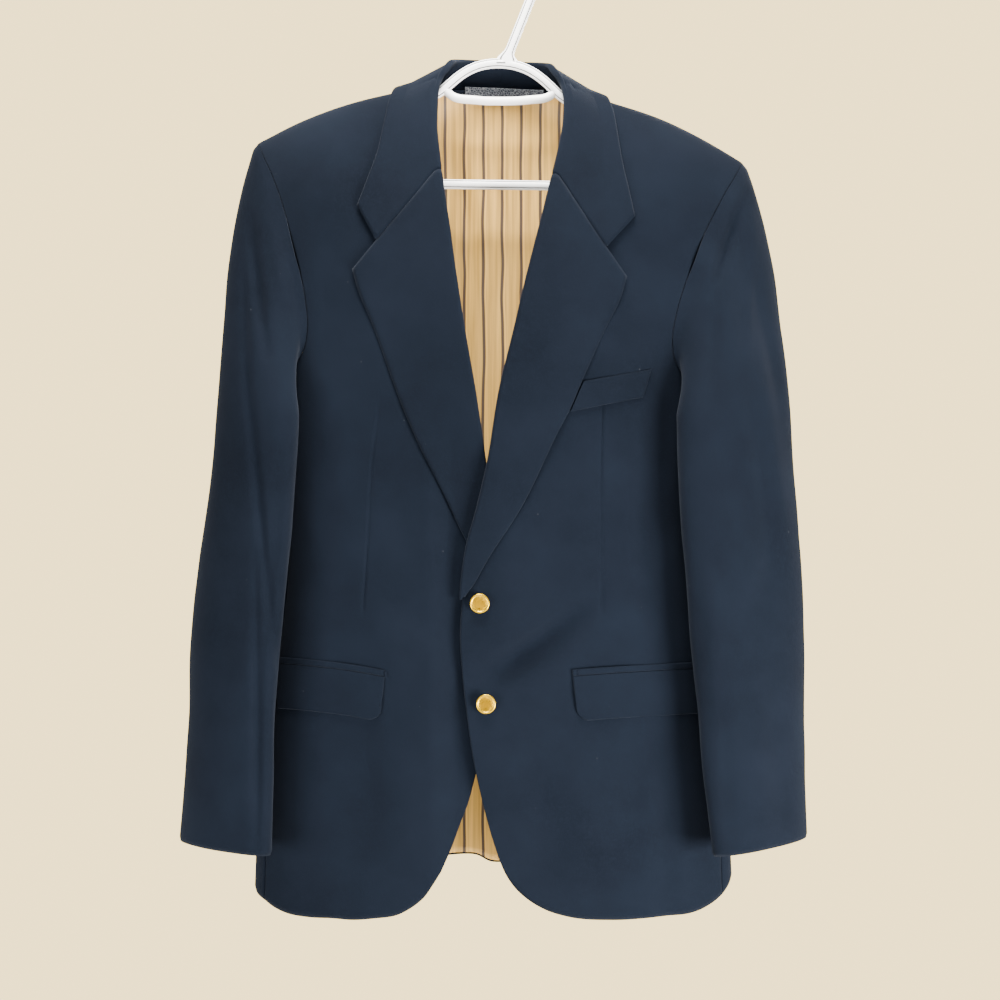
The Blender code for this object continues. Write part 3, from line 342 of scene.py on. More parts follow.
# Its hook, and the stem from inside the arch: how much wider it starts, and over what length.
HOOK_RADIUS, STEM_ANGLE, HOOK_END_ANGLE = 30.3, -23.8, 192.0
STEM_ROOT = [(4.1, 103.0), (4.1, 97.0), (6.3, 91.5)]
STEM_FLARE, STEM_FLARE_LENGTH = 1.3, 9.0
# Depth of the fine grooves in its faces, where they run across the tube and how wide they are, and the
# slot in its crown: drop, half length, radius, how far its middle is sunk into the tube.
GROOVE, GROOVE_PLACE, GROOVE_WIDTH = 1.0, 0.62, 0.1
SLOT_DROP, SLOT_HALF, SLOT_RADIUS, SLOT_INSET = 102.5, 4.6, 0.8, 0.35

# Lamps: name, place, size, the setting with its strength, colour. They point at LAMP_AIM.
LAMPS = [
    ("key", (0.95, -0.8, -1.02), 0.6, "key", (1.0, 0.98, 0.96)),
    ("fill", (-0.95, -0.85, -1.0), 0.6, "fill", (0.97, 0.98, 1.0)),
    ("top", (-0.05, -0.35, 0.62), 0.6, "top", (1.0, 0.98, 0.95)),
    ("front", (0.2, -2.1, -0.3), 0.5, "front", (1.0, 0.98, 0.95)),
    ("rim", (0.3, 1.5, 0.4), 1.2, "key", (1.0, 0.98, 0.95)),
]
LAMP_AIM = (0, 0, -0.5)
FLOOR_RADIUS, FLOOR_CORNERS, FLOOR_Z = 1.6, 96, -1.62
# Camera: lens and sensor in millimetres, its place, and the y of the fronts that it stands off from.
CAMERA_LENS, CAMERA_SENSOR = 72.0, 36.0
CAMERA_X, CAMERA_Z, FRONTS_Y = -0.003, -0.552, -0.06


# ---------------------------------------------------------------- curves and tables

def spline(rows, place):
    """Values of a smooth curve through table rows, each of which starts with its place."""
    table = np.array(rows, dtype=float)
    knots = table[:, 0]
    values = table[:, 1:]
    slopes = np.gradient(values, knots, axis=0)
    place = np.clip(np.asarray(place, dtype=float), knots[0], knots[-1])
    low = np.clip(np.searchsorted(knots, place, side="right") - 1, 0, len(knots) - 2)
    span = (knots[low + 1] - knots[low])[..., None]
    s = (place - knots[low])[..., None] / span
    near = (1 + 2 * s) * (1 - s) ** 2 * values[low] + s * (1 - s) ** 2 * span * slopes[low]
    far = s * s * (3 - 2 * s) * values[low + 1] + s * s * (s - 1) * span * slopes[low + 1]
    return near + far


def run_length(points):
    """Distance along a line of points, starting at 0."""
    steps = np.linalg.norm(np.diff(points, axis=0), axis=1)
    return np.concatenate([[0.0], np.cumsum(steps)])


def points_at(places, run, points):
    """Points of a line at places along its run."""
    return np.column_stack([np.interp(places, run, values) for values in np.transpose(points)])


def trace(points, fractions):
    """Points at fractions of the length of a smooth curve through the given points."""
    points = np.array(points, dtype=float)
    chord = run_length(points)
    fine = spline(np.column_stack([chord, points]), np.linspace(0, chord[-1], 500))
    run = run_length(fine)
    return points_at(fractions, run / run[-1], fine)


def ease(value):
    """0 to 1 with level ends."""
    value = np.clip(value, 0.0, 1.0)
    return value * value * (3 - 2 * value)


def between(value, start, end):
    """Eased share of the way from start to end."""
    return ease((np.asarray(value, dtype=float) - start) / (end - start))


def patch(inner, outer, top, bottom, down, across):
    """Grid between four edges; down and across are the shares of the way at each row and column."""
    v = down[:, None, None]
    u = across[None, :, None]
    ruled_across = (1 - u) * inner[:, None] + u * outer[:, None]
    ruled_down = (1 - v) * top[None, :] + v * bottom[None, :]
    upper = (1 - u) * inner[0] + u * outer[0]
    lower = (1 - u) * inner[-1] + u * outer[-1]
    return ruled_across + ruled_down - (1 - v) * upper - v * lower


# ---------------------------------------------------------------- the garment's form

def ridge(x):
    """Drop of the shoulder line at a distance from the centre line."""
    x = np.abs(x)
    beyond = np.maximum(x, NECK_HALF)
    drop = RIDGE_DROP + RIDGE_SLOPE * (beyond - RIDGE_X)
    drop = drop + RIDGE_FALL * np.maximum(beyond - RIDGE_BEND, 0) ** 2
    return drop - NECK_RISE * (beyond - x)


def body_depth(x, drop, face):
    """y of the cloth's outer side on the front (face -1) or the back (face 1)."""
    half, front, back = np.moveaxis(spline(SECTIONS, drop), -1, 0)
    near, far = FRONT_ROUNDING if face < 0 else BACK_ROUNDING
    reach = near + (far - near) * between(np.abs(x), ROUNDING_FROM, ROUNDING_TO)
    below = np.clip((drop - ridge(x)) / reach, 0, 1)
    rounded = np.sqrt(1 - (1 - below) ** 2)
    width = np.clip(np.abs(x) / half, 0, 1)
    depth = front if face < 0 else back
    return face * depth * np.sqrt(1 - width ** SECTION_POWER) * rounded


def underlap(side, x, drop):
    """How far the right front is set back where the left front covers it."""
    if side == "left":
        return np.zeros(np.broadcast(x, drop).shape)
    across = 1 - between(x, *UNDERLAP_X)
    return UNDERLAP * across * between(drop, *UNDERLAP_TOP) * (1 - between(drop, *UNDERLAP_END))


def fold_depth(folds, x, drop, margin=0.1):
    """Depth of soft folds at places on a piece; each fades to its ends, but for a margin."""
    depth = np.zeros(np.broadcast(x, drop).shape)
    for x0, drop0, x1, drop1, half_width, most in folds:
        long, tall = x1 - x0, drop1 - drop0
        held = np.clip(((x - x0) * long + (drop - drop0) * tall) / (long ** 2 + tall ** 2), 0, 1)
        away = np.hypot(x - x0 - held * long, drop - drop0 - held * tall)
        swell = np.sin(math.pi * (margin + (1 - 2 * margin) * held))
        depth = depth + most * np.exp(-((away / half_width) ** 2)) * swell
    return depth


def placed(side, x, y, drop):
    """World points in metres from one side's distance, depth and drop."""
    sign = SIDES[side]
    x, y, drop = np.broadcast_arrays(x, y, drop)
    centre = spline(CENTRE_LINE, drop)[..., 0]
    fade = 1 - between(drop, TILT_FULL, TILT_END)
    sunk = drop + TILT * sign * x * fade
    return np.stack([centre + sign * x, y, -sunk], axis=-1) * MM


def moved_out(grid, outward, height):
    """The points of a grid moved by heights in millimetres along their normals."""
    return grid + outward * np.asarray(height)[..., None] * MM


def body(side, x, drop, face=-1, lift=0.0):
    """World points on the body's cloth, moved out by lift."""
    x = np.asarray(x, dtype=float)
    drop = np.asarray(drop, dtype=float)

    def surface(x, drop):
        y = body_depth(x, drop, face)
        if face < 0:
            y = y + underlap(side, x, drop) + fold_depth(BODY_FOLDS[side], x, drop, margin=0.12)
        return placed(side, x, y, drop)

    points = surface(x, drop)
    if np.any(lift):
        level = surface(x + 1, drop) - surface(x - 1, drop)
        steep = surface(x, drop + 1) - surface(x, drop - 1)
        normal = np.cross(level, steep)
        normal /= np.linalg.norm(normal, axis=-1, keepdims=True)
        normal *= np.sign(normal[..., 1:2]) * face
        points = moved_out(points, normal, lift)
    return points


def local(side, grid):
    """Each point's distance from the centre line towards a side, and its drop."""
    drop = -grid[..., 2] / MM
    return (grid[..., 0] / MM - spline(CENTRE_LINE, drop)[..., 0]) * SIDES[side], drop


def side_point(side, turn, drop):
    """World points round the side: turn 1 at the front seam, 0 at the side, -1 at the back seam."""
    half, front, back = np.moveaxis(spline(SECTIONS, drop), -1, 0)
    width = 1 - (1 - spline(SIDE_SEAM, drop)[..., 0]) * turn ** 2
    depth = np.where(turn > 0, -front, back)
    y = depth * np.sqrt(np.maximum(1 - width ** SECTION_POWER, 0))
    return placed(side, half * width, y, drop)


def drawn_in(grid, **edges):
    """The grid with its named edges moved inwards by so many millimetres."""
    grid = grid.copy()
    pairs = {"top": (grid[0], grid[1]), "bottom": (grid[-1], grid[-2]),
             "inner": (grid[:, 0], grid[:, 1]), "outer": (grid[:, -1], grid[:, -2])}
    for edge, far in edges.items():
        border, neighbour = pairs[edge]
        step = neighbour - border
        border += step / np.linalg.norm(step, axis=-1, keepdims=True) * far * MM
    return grid


def grid_normals(grid):
    """Unit normals of a grid of points."""
    normal = np.cross(np.gradient(grid, axis=0), np.gradient(grid, axis=1))
    return normal / np.linalg.norm(normal, axis=-1, keepdims=True)


def edge_distance(grid, edge):
    """Distance of each point of a grid from one of its edges, in metres."""
    axis = 0 if edge in ("top", "bottom") else 1
    steps = np.linalg.norm(np.diff(grid, axis=axis), axis=-1)
    run = np.insert(np.cumsum(steps, axis=axis), 0, 0, axis=axis)
    return run if edge in ("top", "inner") else run.take([-1], axis=axis) - run


def turned_edges(grid, outward, **edges):
    """The grid with its named edges rounded inwards: each is (width, depth) in millimetres."""
    push = np.zeros(grid.shape[:2])
    for edge, (width, depth) in edges.items():
        near = np.clip(1 - edge_distance(grid, edge) / (width * MM), 0, 1)
        push = np.maximum(push, depth * (1 - np.sqrt(1 - near ** 2)))
    return grid - outward * push[..., None] * MM


def refined(shares, parts):
    """The shares with each step split into so many parts."""
    places = np.linspace(0, len(shares) - 1, (len(shares) - 1) * parts + 1)
    return np.interp(places, np.arange(len(shares)), shares)


def edged(shares):
    """The shares with more lines close to both ends."""
    near = np.array(NEAR_EDGE)
    return np.unique(np.concatenate([shares, near, 1 - near]).round(6))


# ---------------------------------------------------------------- grids of the pieces

def roll_radius(side, drop):
    return spline(ROLL_RADIUS[side], drop)[..., 0]


def front_inner_edge(side):
    """Front panel's inner edge: it stops short of the roll line by the roll's radius."""
    return [(NECK_HALF, ridge(NECK_HALF))] + [
        (x + (float(roll_radius(side, drop)) + SEAM_GAP if drop <= BREAK_DROP + 1 else 0.0), drop)
        for drop, x in FRONT_EDGE[side]
    ]


def side_seam_line(hem_drop):
    """Seam between a panel and the side panel: x, drop."""
    drops = np.linspace(ARMHOLE[-1][1], hem_drop, 12)
    half = spline(SECTIONS, drops)[..., 0]
    return np.column_stack([half * spline(SIDE_SEAM, drops)[..., 0], drops])


def outer_edge(hem_drop, seam_count, rows):
    """A panel's armhole and side seam, and the share of the way down at each row."""
    armhole = trace(ARMHOLE, rows)
    seam = trace(side_seam_line(hem_drop), np.linspace(0, 1, seam_count + 1))
    edge = np.concatenate([armhole, seam[1:]])
    run = run_length(edge)
    return edge, run / run[-1]


def front_grid(side, seam_count, columns, rows):
    outer, down = outer_edge(FRONT_HEM[side][-1][1], seam_count, rows)
    inner = trace(front_inner_edge(side), down)
    shoulder_x = NECK_HALF + (SHOULDER_HALF - NECK_HALF) * columns
    top = np.column_stack([shoulder_x, ridge(shoulder_x)])
    outer[0] = top[-1]
    bottom = trace(FRONT_HEM[side], columns)
    outer[-1] = bottom[-1]
    flat = patch(inner, outer, top, bottom, down, columns)
    return body(side, flat[..., 0], flat[..., 1])


def side_grid(side, rows, columns):
    turn = np.linspace(1, -1, columns)[None, :]
    top = UNDERARM_DROP - UNDERARM_RISE * np.abs(turn) ** 3
    at_front, at_side, at_back = SIDE_HEM[side]
    hem = at_side + (at_front - at_back) / 2 * turn + ((at_front + at_back) / 2 - at_side) * turn ** 2
    down = np.linspace(0, 1, rows)[:, None]
    drop = top + (hem - top) * down
    return side_point(side, np.broadcast_to(turn, drop.shape), drop)


def back_grid(side, seam_count, neck_columns, shoulder_columns, rows):
    outer, down = outer_edge(SIDE_HEM[side][2], seam_count, rows)
    neck = trace(BACK_NECK, np.linspace(0, 1, neck_columns + 1))
    shoulder_x = np.linspace(NECK_HALF, SHOULDER_HALF, shoulder_columns + 1)
    shoulder = np.column_stack([shoulder_x, ridge(shoulder_x)])
    top = np.concatenate([neck, shoulder[1:]])
    outer[0] = top[-1]
    run = run_length(top)
    across = run / run[-1]
    start, end = BACK_NECK[0][1], BACK_HEM[0][1]
    inner = np.column_stack([np.zeros(len(down)), start + (end - start) * down])
    bottom = trace(BACK_HEM + [tuple(outer[-1])], across)
    flat = patch(inner, outer, top, bottom, down, across)
    return body(side, flat[..., 0], flat[..., 1], face=1)


def hairpin(seam, fold, facing, crown, radius, arc_steps):
    """Under layer and turn of a folded sheet, from its seam over the fold to where it lies back."""
    towards = np.array([math.cos(facing), math.sin(facing), 0.0])
    crest = np.array([-math.cos(crown), 0.0, math.sin(crown)])
    crest = crest - towards * crest.dot(towards)
    crest /= np.linalg.norm(crest)
    angle = np.linspace(0, math.pi, arc_steps + 1)[:, None]
    turn = fold - crest * radius - towards * radius * np.cos(angle) + crest * radius * np.sin(angle)
    return np.concatenate([[seam], turn])


def lapel_grid(side, rows, columns, arc_steps):
    """The lapel: each row starts under the roll, turns over it and lies back to the outer edge."""
    shares = np.linspace(0, 1, rows)
    across = np.linspace(0, 1, columns)[1:]
    angle = np.radians(np.linspace(-90, 90, arc_steps + 1))
    lines = []
    for drop, (outer_x, outer_drop) in zip(
        GORGE_DROP + (BREAK_DROP - GORGE_DROP) * shares, trace(LAPEL_EDGE[side], shares)
    ):
        radius = float(roll_radius(side, drop))
        x = float(spline(FRONT_EDGE[side], drop)[0]) + radius
        turn = body(side, x, drop) + radius * MM * np.stack([
            -SIDES[side] * np.cos(angle), -1 - np.sin(angle), np.zeros(len(angle)),
        ], axis=-1)
        lift = 2 * radius + (LAPEL_LIFT - 2 * radius) * ease(across)
        lie = body(side, x + (outer_x - x) * across, drop + (outer_drop - drop) * across, lift=lift)
        lines.append(np.concatenate([turn, lie]))
    return np.array(lines)


def collar_grid(side, stations, arc_steps):
    """Half of the collar, from the centre back to the gorge."""
    gorge = np.array([float(spline(FRONT_EDGE[side], GORGE_DROP)[0]) + COLLAR_ROLL, GORGE_DROP])
    corner = np.array([COLLAR[-1][7], COLLAR[-1][9]])
    notch = (np.array(LAPEL_EDGE[side][0]) - gorge) * NOTCH_SHARE - (corner - gorge) * NOTCH_ACROSS
    across = COLLAR_COLUMNS
    lines = []
    for station in np.linspace(0, 1, stations):
        row = spline(COLLAR, station)
        seam, fold, leaf = (row[k:k + 3] * (1, 1, -1) for k in (0, 3, 6))
        on_body = float(between(station, *COLLAR_ON_BODY))
        fold[0] += (float(spline(FRONT_EDGE[side], row[5])[0]) - fold[0]) * on_body
        seam[0] += (fold[0] + COLLAR_ROLL - seam[0]) * on_body
        turn = hairpin(seam, fold, *np.radians(row[9:11]), COLLAR_ROLL, arc_steps)
        lie = turn[-1] + (leaf - turn[-1]) * across[:, None]
        bend = np.minimum(across / NOTCH_ACROSS, (1 - across) / (1 - NOTCH_ACROSS)) * station ** 4
        lie[:, 0] += notch[0] * bend
        lie[:, 2] -= notch[1] * bend
        turn_world = placed(side, turn[:, 0], turn[:, 1], -turn[:, 2])
        lie_world = placed(side, lie[:, 0], lie[:, 1], -lie[:, 2])
        if on_body:
            lift = 2 * COLLAR_ROLL + (COLLAR_LIFT - 2 * COLLAR_ROLL) * ease(across)
            rest = body(side, lie[:, 0], -lie[:, 2], lift=lift)
            lie_world = lie_world + (rest - lie_world) * on_body
            level = float(body(side, fold[0] + COLLAR_ROLL, -fold[2])[1]) / MM
            turn_world[:, 1] += (level - COLLAR_ROLL - fold[1]) * on_body * MM
        lines.append(np.concatenate([turn_world, lie_world]))
    return np.array(lines)


def armhole_loop(side, count=240):
    """World points round the armhole: from the shoulder down the front and up the back."""
    share = np.linspace(0, 1, count)
    limb = trace(ARMHOLE, share)
    front = body(side, limb[:, 0], limb[:, 1])
    back = body(side, limb[:, 0], limb[:, 1], face=1)
    turn = np.linspace(1, -1, count // 2)
    under = side_point(side, turn, UNDERARM_DROP - UNDERARM_RISE * np.abs(turn) ** 3)
    return np.concatenate([front, under[1:], back[::-1][1:]])


def sleeve_ring(side, drop, angle):
    """Points of the sleeve's level section, before the cuff's slope, in world metres."""
    inner, outer, middle, thick, turn = np.moveaxis(spline(SLEEVES[side], drop), -1, 0)
    half = (outer - inner) / 2
    turn = np.radians(turn)
    long = np.sqrt(half ** 2 - (thick * np.sin(turn)) ** 2) / np.cos(turn)
    u, v = long * np.cos(angle), thick * np.sin(angle)
    x = (inner + outer) / 2 + u * np.cos(turn) + v * np.sin(turn)
    y = middle + u * np.sin(turn) - v * np.cos(turn)
    cuff_in, cuff_out = CUFF[side]
    start, end = SLEEVES[side][0][0], SLEEVES[side][-1][0]
    level = cuff_in + (cuff_out - cuff_in) * np.clip((x - inner) / (outer - inner), 0, 1)
    sunk = start + (level - start) * (drop - start) / (end - start)
    return np.stack([SIDES[side] * x, y, -sunk], axis=-1) * MM


def seated(grid, seam, outwards):
    """A sleeve with its head let down into the armhole seam."""
    down = edge_distance(grid, "top") / MM
    back = seam - grid[0]
    off = back @ outwards
    sideways = off[:, None] * outwards
    near = np.maximum(SEAT_SLOPE * np.abs(off) / MM, 1.0)
    let_in = (1 - ease(down / near))[..., None]
    let_down = (1 - ease(down / SEAT_FAR))[..., None]
    return grid + sideways * let_in + (back - sideways) * let_down


def sleeve_grid(side, turns, cap_shares, length_rows):
    """Part of the sleeve, a column of points for each turn, from the armhole to the cuff."""
    loop = armhole_loop(side)
    run = run_length(loop)
    places, degrees = np.transpose(SLEEVE_TURN)
    share = np.interp(turns, degrees, places)
    wrapped = np.mod(share, 1.0)
    start = points_at(wrapped, run / run[-1], loop)
    outwards = np.array([SIDES[side], 0.0, 0.0])
    radial = start - loop.mean(axis=0)
    radial[:, 0] = 0
    radial /= np.linalg.norm(radial, axis=1, keepdims=True)
    place, spread, stand = UNDERARM_STAND
    top_spread, lower, closer = SLEEVE_TOP
    on_top = np.exp(-((np.minimum(wrapped, 1 - wrapped) / top_spread) ** 2))
    away = SLEEVE_OUT + stand * np.exp(-(((wrapped - place) / spread) ** 2)) - closer * on_top
    lift = SLEEVE_LIFT - lower * on_top
    seam = start + outwards * SEAM_HALF * MM
    start = moved_out(moved_out(start, radial, lift), outwards, away)
    first, last = float(SLEEVES[side][0][0]), SLEEVES[side][-1][0]

    def ring_at(drop):
        return sleeve_ring(side, np.full(len(turns), drop), np.radians(turns))

    ring, below = ring_at(first), ring_at(first + 20.0)
    reach = np.linalg.norm(ring - start, axis=1, keepdims=True)
    out, down = SLEEVE_START
    leave = (outwards * out + np.array([0, 0, -down])) * reach * SLEEVE_START_PULL
    arrive = (below - ring) / np.linalg.norm(below - ring, axis=1, keepdims=True) * reach
    rows = []
    for v in cap_shares:
        point = (2 * v ** 3 - 3 * v ** 2 + 1) * start + (v ** 3 - 2 * v ** 2 + v) * leave
        rows.append(point + (3 * v ** 2 - 2 * v ** 3) * ring + (v ** 3 - v ** 2) * arrive)
    rows += [ring_at(drop) for drop in np.linspace(first, last, length_rows)[1:]]
    grid = seated(np.array(rows), seam, outwards)
    return moved_out(grid, sleeve_normals(side, grid), sleeve_fold(side, share, grid))


def sleeve_normals(side, grid):
    """Normals of a sleeve grid, pointing out of the tube."""
    return -grid_normals(grid) * SIDES[side]


def sleeve_fold(side, share, grid):
    """Height of the soft folds at each point of a sleeve grid, out of the tube."""
    drop = -grid[..., 2] / MM
    height = np.zeros(drop.shape)
    for place, start, end, half_width, most in SLEEVE_FOLDS[side]:
        across = np.exp(-(((share[None, :] - place) / half_width) ** 2))
        along = between(drop - start, -FOLD_BEYOND, FOLD_WITHIN)
        along = along * (1 - between(drop - end, -FOLD_WITHIN, FOLD_BEYOND))
        height = height + most * across * along
    return height


def pocket_grids(side, share, jet_rows, flap_rows):
    """Points of a pocket's jet and of its flap."""
    start_x, start_drop, back_drop, length = POCKETS[side]
    lift = WALL + LAYER_GAP
    x = start_x + length * share
    line = start_drop + (back_drop - start_drop) * (1 - (1 - share) ** 2)
    drop = line + JET_HEIGHT * jet_rows[:, None]
    jet = body(side, np.broadcast_to(x, drop.shape), drop, lift=lift)
    away = np.maximum(FLAP_CORNER - length * share, 0)
    height = FLAP_HEIGHT - (FLAP_CORNER - np.sqrt(FLAP_CORNER ** 2 - away ** 2))
    down = flap_rows[:, None]
    bow = FLAP_BOW * np.sin(math.pi * down) * (0.4 + 0.6 * np.sin(share * 5.0) ** 2)
    flap = body(side, x + FLAP_SLANT * down * (1 - share), line + JET_HEIGHT + FLAP_GAP + height * down,
                lift=lift + bow)
    return jet, flap


def label_grid(columns, rows):
    """The label on the lining, and straight up from it where it stands in front of the collar."""
    x0, x1, top, bottom = LABEL
    x, drop = np.broadcast_arrays(x0 + (x1 - x0) * columns[None, :], top + (bottom - top) * rows[:, None])
    inset = -(WALL + LINING_GAP + LINING_WALL + LABEL_GAP)
    held = np.maximum(drop, LABEL_HELD)
    grid = body("left", x - HANGER_X, held, face=1, lift=np.full(x.shape, inset))
    grid[..., 2] += (held - drop) * MM
    return grid


# ---------------------------------------------------------------- finished cloth

def finished(grid, outward, sewn=(), free=(), **turns):
    """The grid with its sewn edges let together, and all its named edges turned in."""
    turns = {**dict.fromkeys(sewn, SEAM_TURN), **dict.fromkeys(free, FREE_TURN), **turns}
    return turned_edges(drawn_in(grid, **dict.fromkeys(sewn, SEAM_HALF)), outward, **turns)


def unevenness(x, drop, seed=0.0):
    """Height of the cloth's slight unevenness."""
    height = np.zeros(np.broadcast(x, drop).shape)
    for across, down, start, rise in UNEVEN:
        phase = start + seed
        height = height + rise * np.sin(x / across * WAVE + phase + 0.9 * np.sin(drop / down * 3.1 + phase))
        height = height + 0.6 * rise * np.sin(drop / down * WAVE + 2.3 * phase + x / across)
    return height * 0.5


def panel_height(side, grid, creases, seed, seams):
    """Height of a body panel's creases and unevenness: none along its seams, so that they meet."""
    x, drop = local(side, grid)
    height = unevenness(x, drop, seed) - fold_depth(creases[side], x, drop)
    for seam in seams:
        height = height * ease(edge_distance(grid, seam) / MM / SEAM_CALM)
    return height * between(drop, *CREASE_TOP)


def sleeve_height(side, grid, outward):
    """Height of a sleeve's creases and unevenness at the points of its grid."""
    x, drop = local(side, grid)
    forward = between(-outward[..., 1], *SLEEVE_FORWARD)
    depth = fold_depth(SLEEVE_CREASES[side], x, drop) * forward
    depth = depth + fold_depth(SLEEVE_BACK_CREASES[side], x, drop) * (1 - forward)
    height = unevenness(x, drop, 1.3 * SIDES[side] + 0.5 * forward) - depth
    return height * between(edge_distance(grid, "top") / MM, *CREASE_HEAD)


def bent_to(grid, columns, place, line_share):
    """The grid with the column at a place moved onto a line: its share of the width at each row."""
    return np.array([
        points_at(np.interp(columns, [0, place, 1], [0, share, 1]), columns, points)
        for points, share in zip(grid, line_share)
    ])


def front_cloth(side):
    """A front with its dart sewn: one column of points runs along the dart."""
    columns = edged(np.linspace(0, 1, 78))
    grid = front_grid(side, seam_count=104, columns=columns, rows=refined(ARMHOLE_ROWS, PANEL_PARTS))
    place, dart = DART_PLACE[side], FRONT_DART[side]
    beside = np.array(DART_BESIDE)
    near = np.concatenate([-beside[::-1], [0], beside]) + place
    fine = np.unique(np.concatenate([columns[np.abs(columns - place) > DART_CLEAR], near]).round(6))
    x, drop = grid[..., 0] / MM, -grid[..., 2] / MM
    middle = drop.mean(axis=1)
    top, bottom = dart[0][0], dart[-1][0]
    share = (spline(dart, middle)[..., 0] - x[:, 0]) / (x[:, -1] - x[:, 0])
    held = between(middle, top - DART_LEAD, top) * (1 - between(middle, bottom, bottom + DART_LEAD))
    share = place + (share - place) * held
    grid = bent_to(np.stack([points_at(fine, columns, points) for points in grid]), fine, place, share)
    outward = grid_normals(grid) * SIDES[side]
    grid = moved_out(grid, outward, panel_height(side, grid, FRONT_CREASES, 0.7 * SIDES[side], ["outer"]))
    x, drop = grid[..., 0] / MM, -grid[..., 2] / MM
    away = x - spline(dart, drop)[..., 0]
    sewn = between(drop - top, *DART_STARTS) * (1 - between(drop - bottom, *DART_ENDS))
    grid = moved_out(grid, outward, -DART_DEPTH * np.exp(-((away / DART_HALF) ** 2)) * sewn)
    return finished(grid, outward, sewn=("top", "outer"), free=("inner", "bottom"))


def hem_waved(grid):
    """The grid with the small wave of the back's hem: higher on the wearer's right, lower on the left."""
    x = grid[..., 0] / MM - HEM_WAVE_X
    near = ease(1 - edge_distance(grid, "bottom") / MM / HEM_WAVE_RISE)
    grid = grid.copy()
    grid[..., 2] -= HEM_WAVE * np.tanh(x / HEM_WAVE_STEP) * np.exp(-((x / HEM_WAVE_REACH) ** 2)) * near * MM
    grid[..., 1] -= HEM_DENT * np.exp(-((x / HEM_DENT_HALF) ** 2)) * near * MM
    return grid


def back_cloth(side):
    grid = back_grid(side, seam_count=96, neck_columns=22, shoulder_columns=46,
                     rows=refined(ARMHOLE_ROWS, PANEL_PARTS))
    outward = -grid_normals(grid) * SIDES[side]
    height = panel_height(side, grid, BACK_CREASES, 2.0 * SIDES[side], ["inner", "outer"])
    grid = drawn_in(moved_out(grid, outward, height), top=SEAM_HALF, inner=SEAM_HALF, outer=SEAM_HALF)
    return turned_edges(hem_waved(grid), outward, top=SEAM_TURN, inner=SEAM_TURN, outer=SEAM_TURN,
                        bottom=FREE_TURN)


def side_cloth(side):
    grid = side_grid(side, rows=120, columns=33)
    outward = grid_normals(grid) * SIDES[side]
    return finished(grid, outward, sewn=("inner", "outer"), free=("bottom",), top=SEAM_TURN)


def lapel_cloth(side):
    grid = lapel_grid(side, rows=90, columns=30, arc_steps=12)
    outward = grid_normals(grid) * SIDES[side]
    return finished(grid, outward, sewn=("top",), free=("outer",), top=GORGE_TURN)


def collar_cloth():
    left, right = (collar_grid(side, stations=70, arc_steps=12) for side in SIDES)
    grid = np.concatenate([right[:0:-1], left])
    return finished(grid, grid_normals(grid), sewn=("top", "bottom"), free=("outer",), top=GORGE_TURN,
                    bottom=GORGE_TURN)


def sleeve_cloth(side, turns):
    shares = np.concatenate([HEAD_ROWS, np.linspace(HEAD_ROWS[-1], 1, HEAD_FINE)[1:]])
    grid = sleeve_grid(side, refined(turns, SLEEVE_PARTS), shares, length_rows=100)
    outward = sleeve_normals(side, grid)
    grid = moved_out(grid, outward, sleeve_height(side, grid, outward))
    return finished(grid, outward, sewn=("inner", "outer"), free=("bottom",), top=SEAM_TURN)


def pocket_cloth(side):
    share = edged(np.linspace(0, 1, 48))
    jet, flap = pocket_grids(side, share, np.linspace(0, 1, 9), edged(np.linspace(0, 1, 22)))
    jet_out, flap_out = (grid_normals(grid) * SIDES[side] for grid in (jet, flap))
    jet = turned_edges(jet, jet_out, top=JET_TURN, bottom=JET_TURN, inner=JET_END_TURN)
    return jet, finished(flap, flap_out, free=("inner", "bottom"))


def welt_cloth():
    across = edged(np.linspace(0, 1, 30))
    down = edged(np.linspace(0, 1, 14))[:, None, None]
    flat = trace(WELT_TOP, across)[None] * (1 - down) + trace(WELT_BOTTOM, across)[None] * down
    grid = body("left", flat[..., 0], flat[..., 1], lift=WALL + LAYER_GAP)
    return finished(grid, grid_normals(grid), free=("top",), bottom=SEAM_TURN, outer=WELT_TURN)


def neck_shaped(grid):
    """The lining's grid with its top edge highest at the ends of the neck."""
    first = LINING_FROM_ROW * PANEL_PARTS
    places = np.arange(len(grid))
    columns = []
    for points in np.swapaxes(grid, 0, 1):
        away = min(abs(points[first, 0] / MM - LINING_MIDDLE) / LINING_NECK_HALF, 1.0)
        start = first * (1 - LINING_NECK_RISE * away ** 2)
        columns.append(points_at(np.linspace(start, places[-1], len(grid) - first), places, points))
    return np.swapaxes(np.array(columns), 0, 1)


def lining_folds(grid):
    """Soft upright folds of the lining, uneven and deepest in the middle of the back."""
    x, drop = grid[..., 0] / MM, -grid[..., 2] / MM
    bent = x + 5 * np.sin(drop / 62) + 3 * np.sin(drop / 27 + 1)
    wave = np.sin(bent / 6.1 + 0.8 * np.sin(drop / 70)) + 0.8 * np.sin(bent / 11.3 + 1.3 + drop / 160)
    wave = wave * (0.6 + 0.4 * np.sin(x / 31 + drop / 90))
    return (wave + 1.2) * between(drop, 112, 260) * LINING_FOLD


def lining_cloth():
    halves = []
    for side, step in (("right", -1), ("left", 1)):
        grid = back_grid(side, seam_count=60, neck_columns=16, shoulder_columns=30,
                         rows=refined(ARMHOLE_ROWS, PANEL_PARTS))
        halves.append(grid[:, ::step])
    grid = neck_shaped(np.concatenate([halves[0][:, :-1], halves[1]], axis=1))
    normals = grid_normals(grid)
    inwards = -np.sign(normals[..., 1:2]) * normals
    grid = grid + inwards * (WALL + LINING_GAP) * MM
    grid = moved_out(grid, inwards, lining_folds(grid))
    aside = LINING_SIDE_INSET
    return hem_waved(drawn_in(grid, bottom=LINING_HEM_INSET, inner=aside, outer=aside))


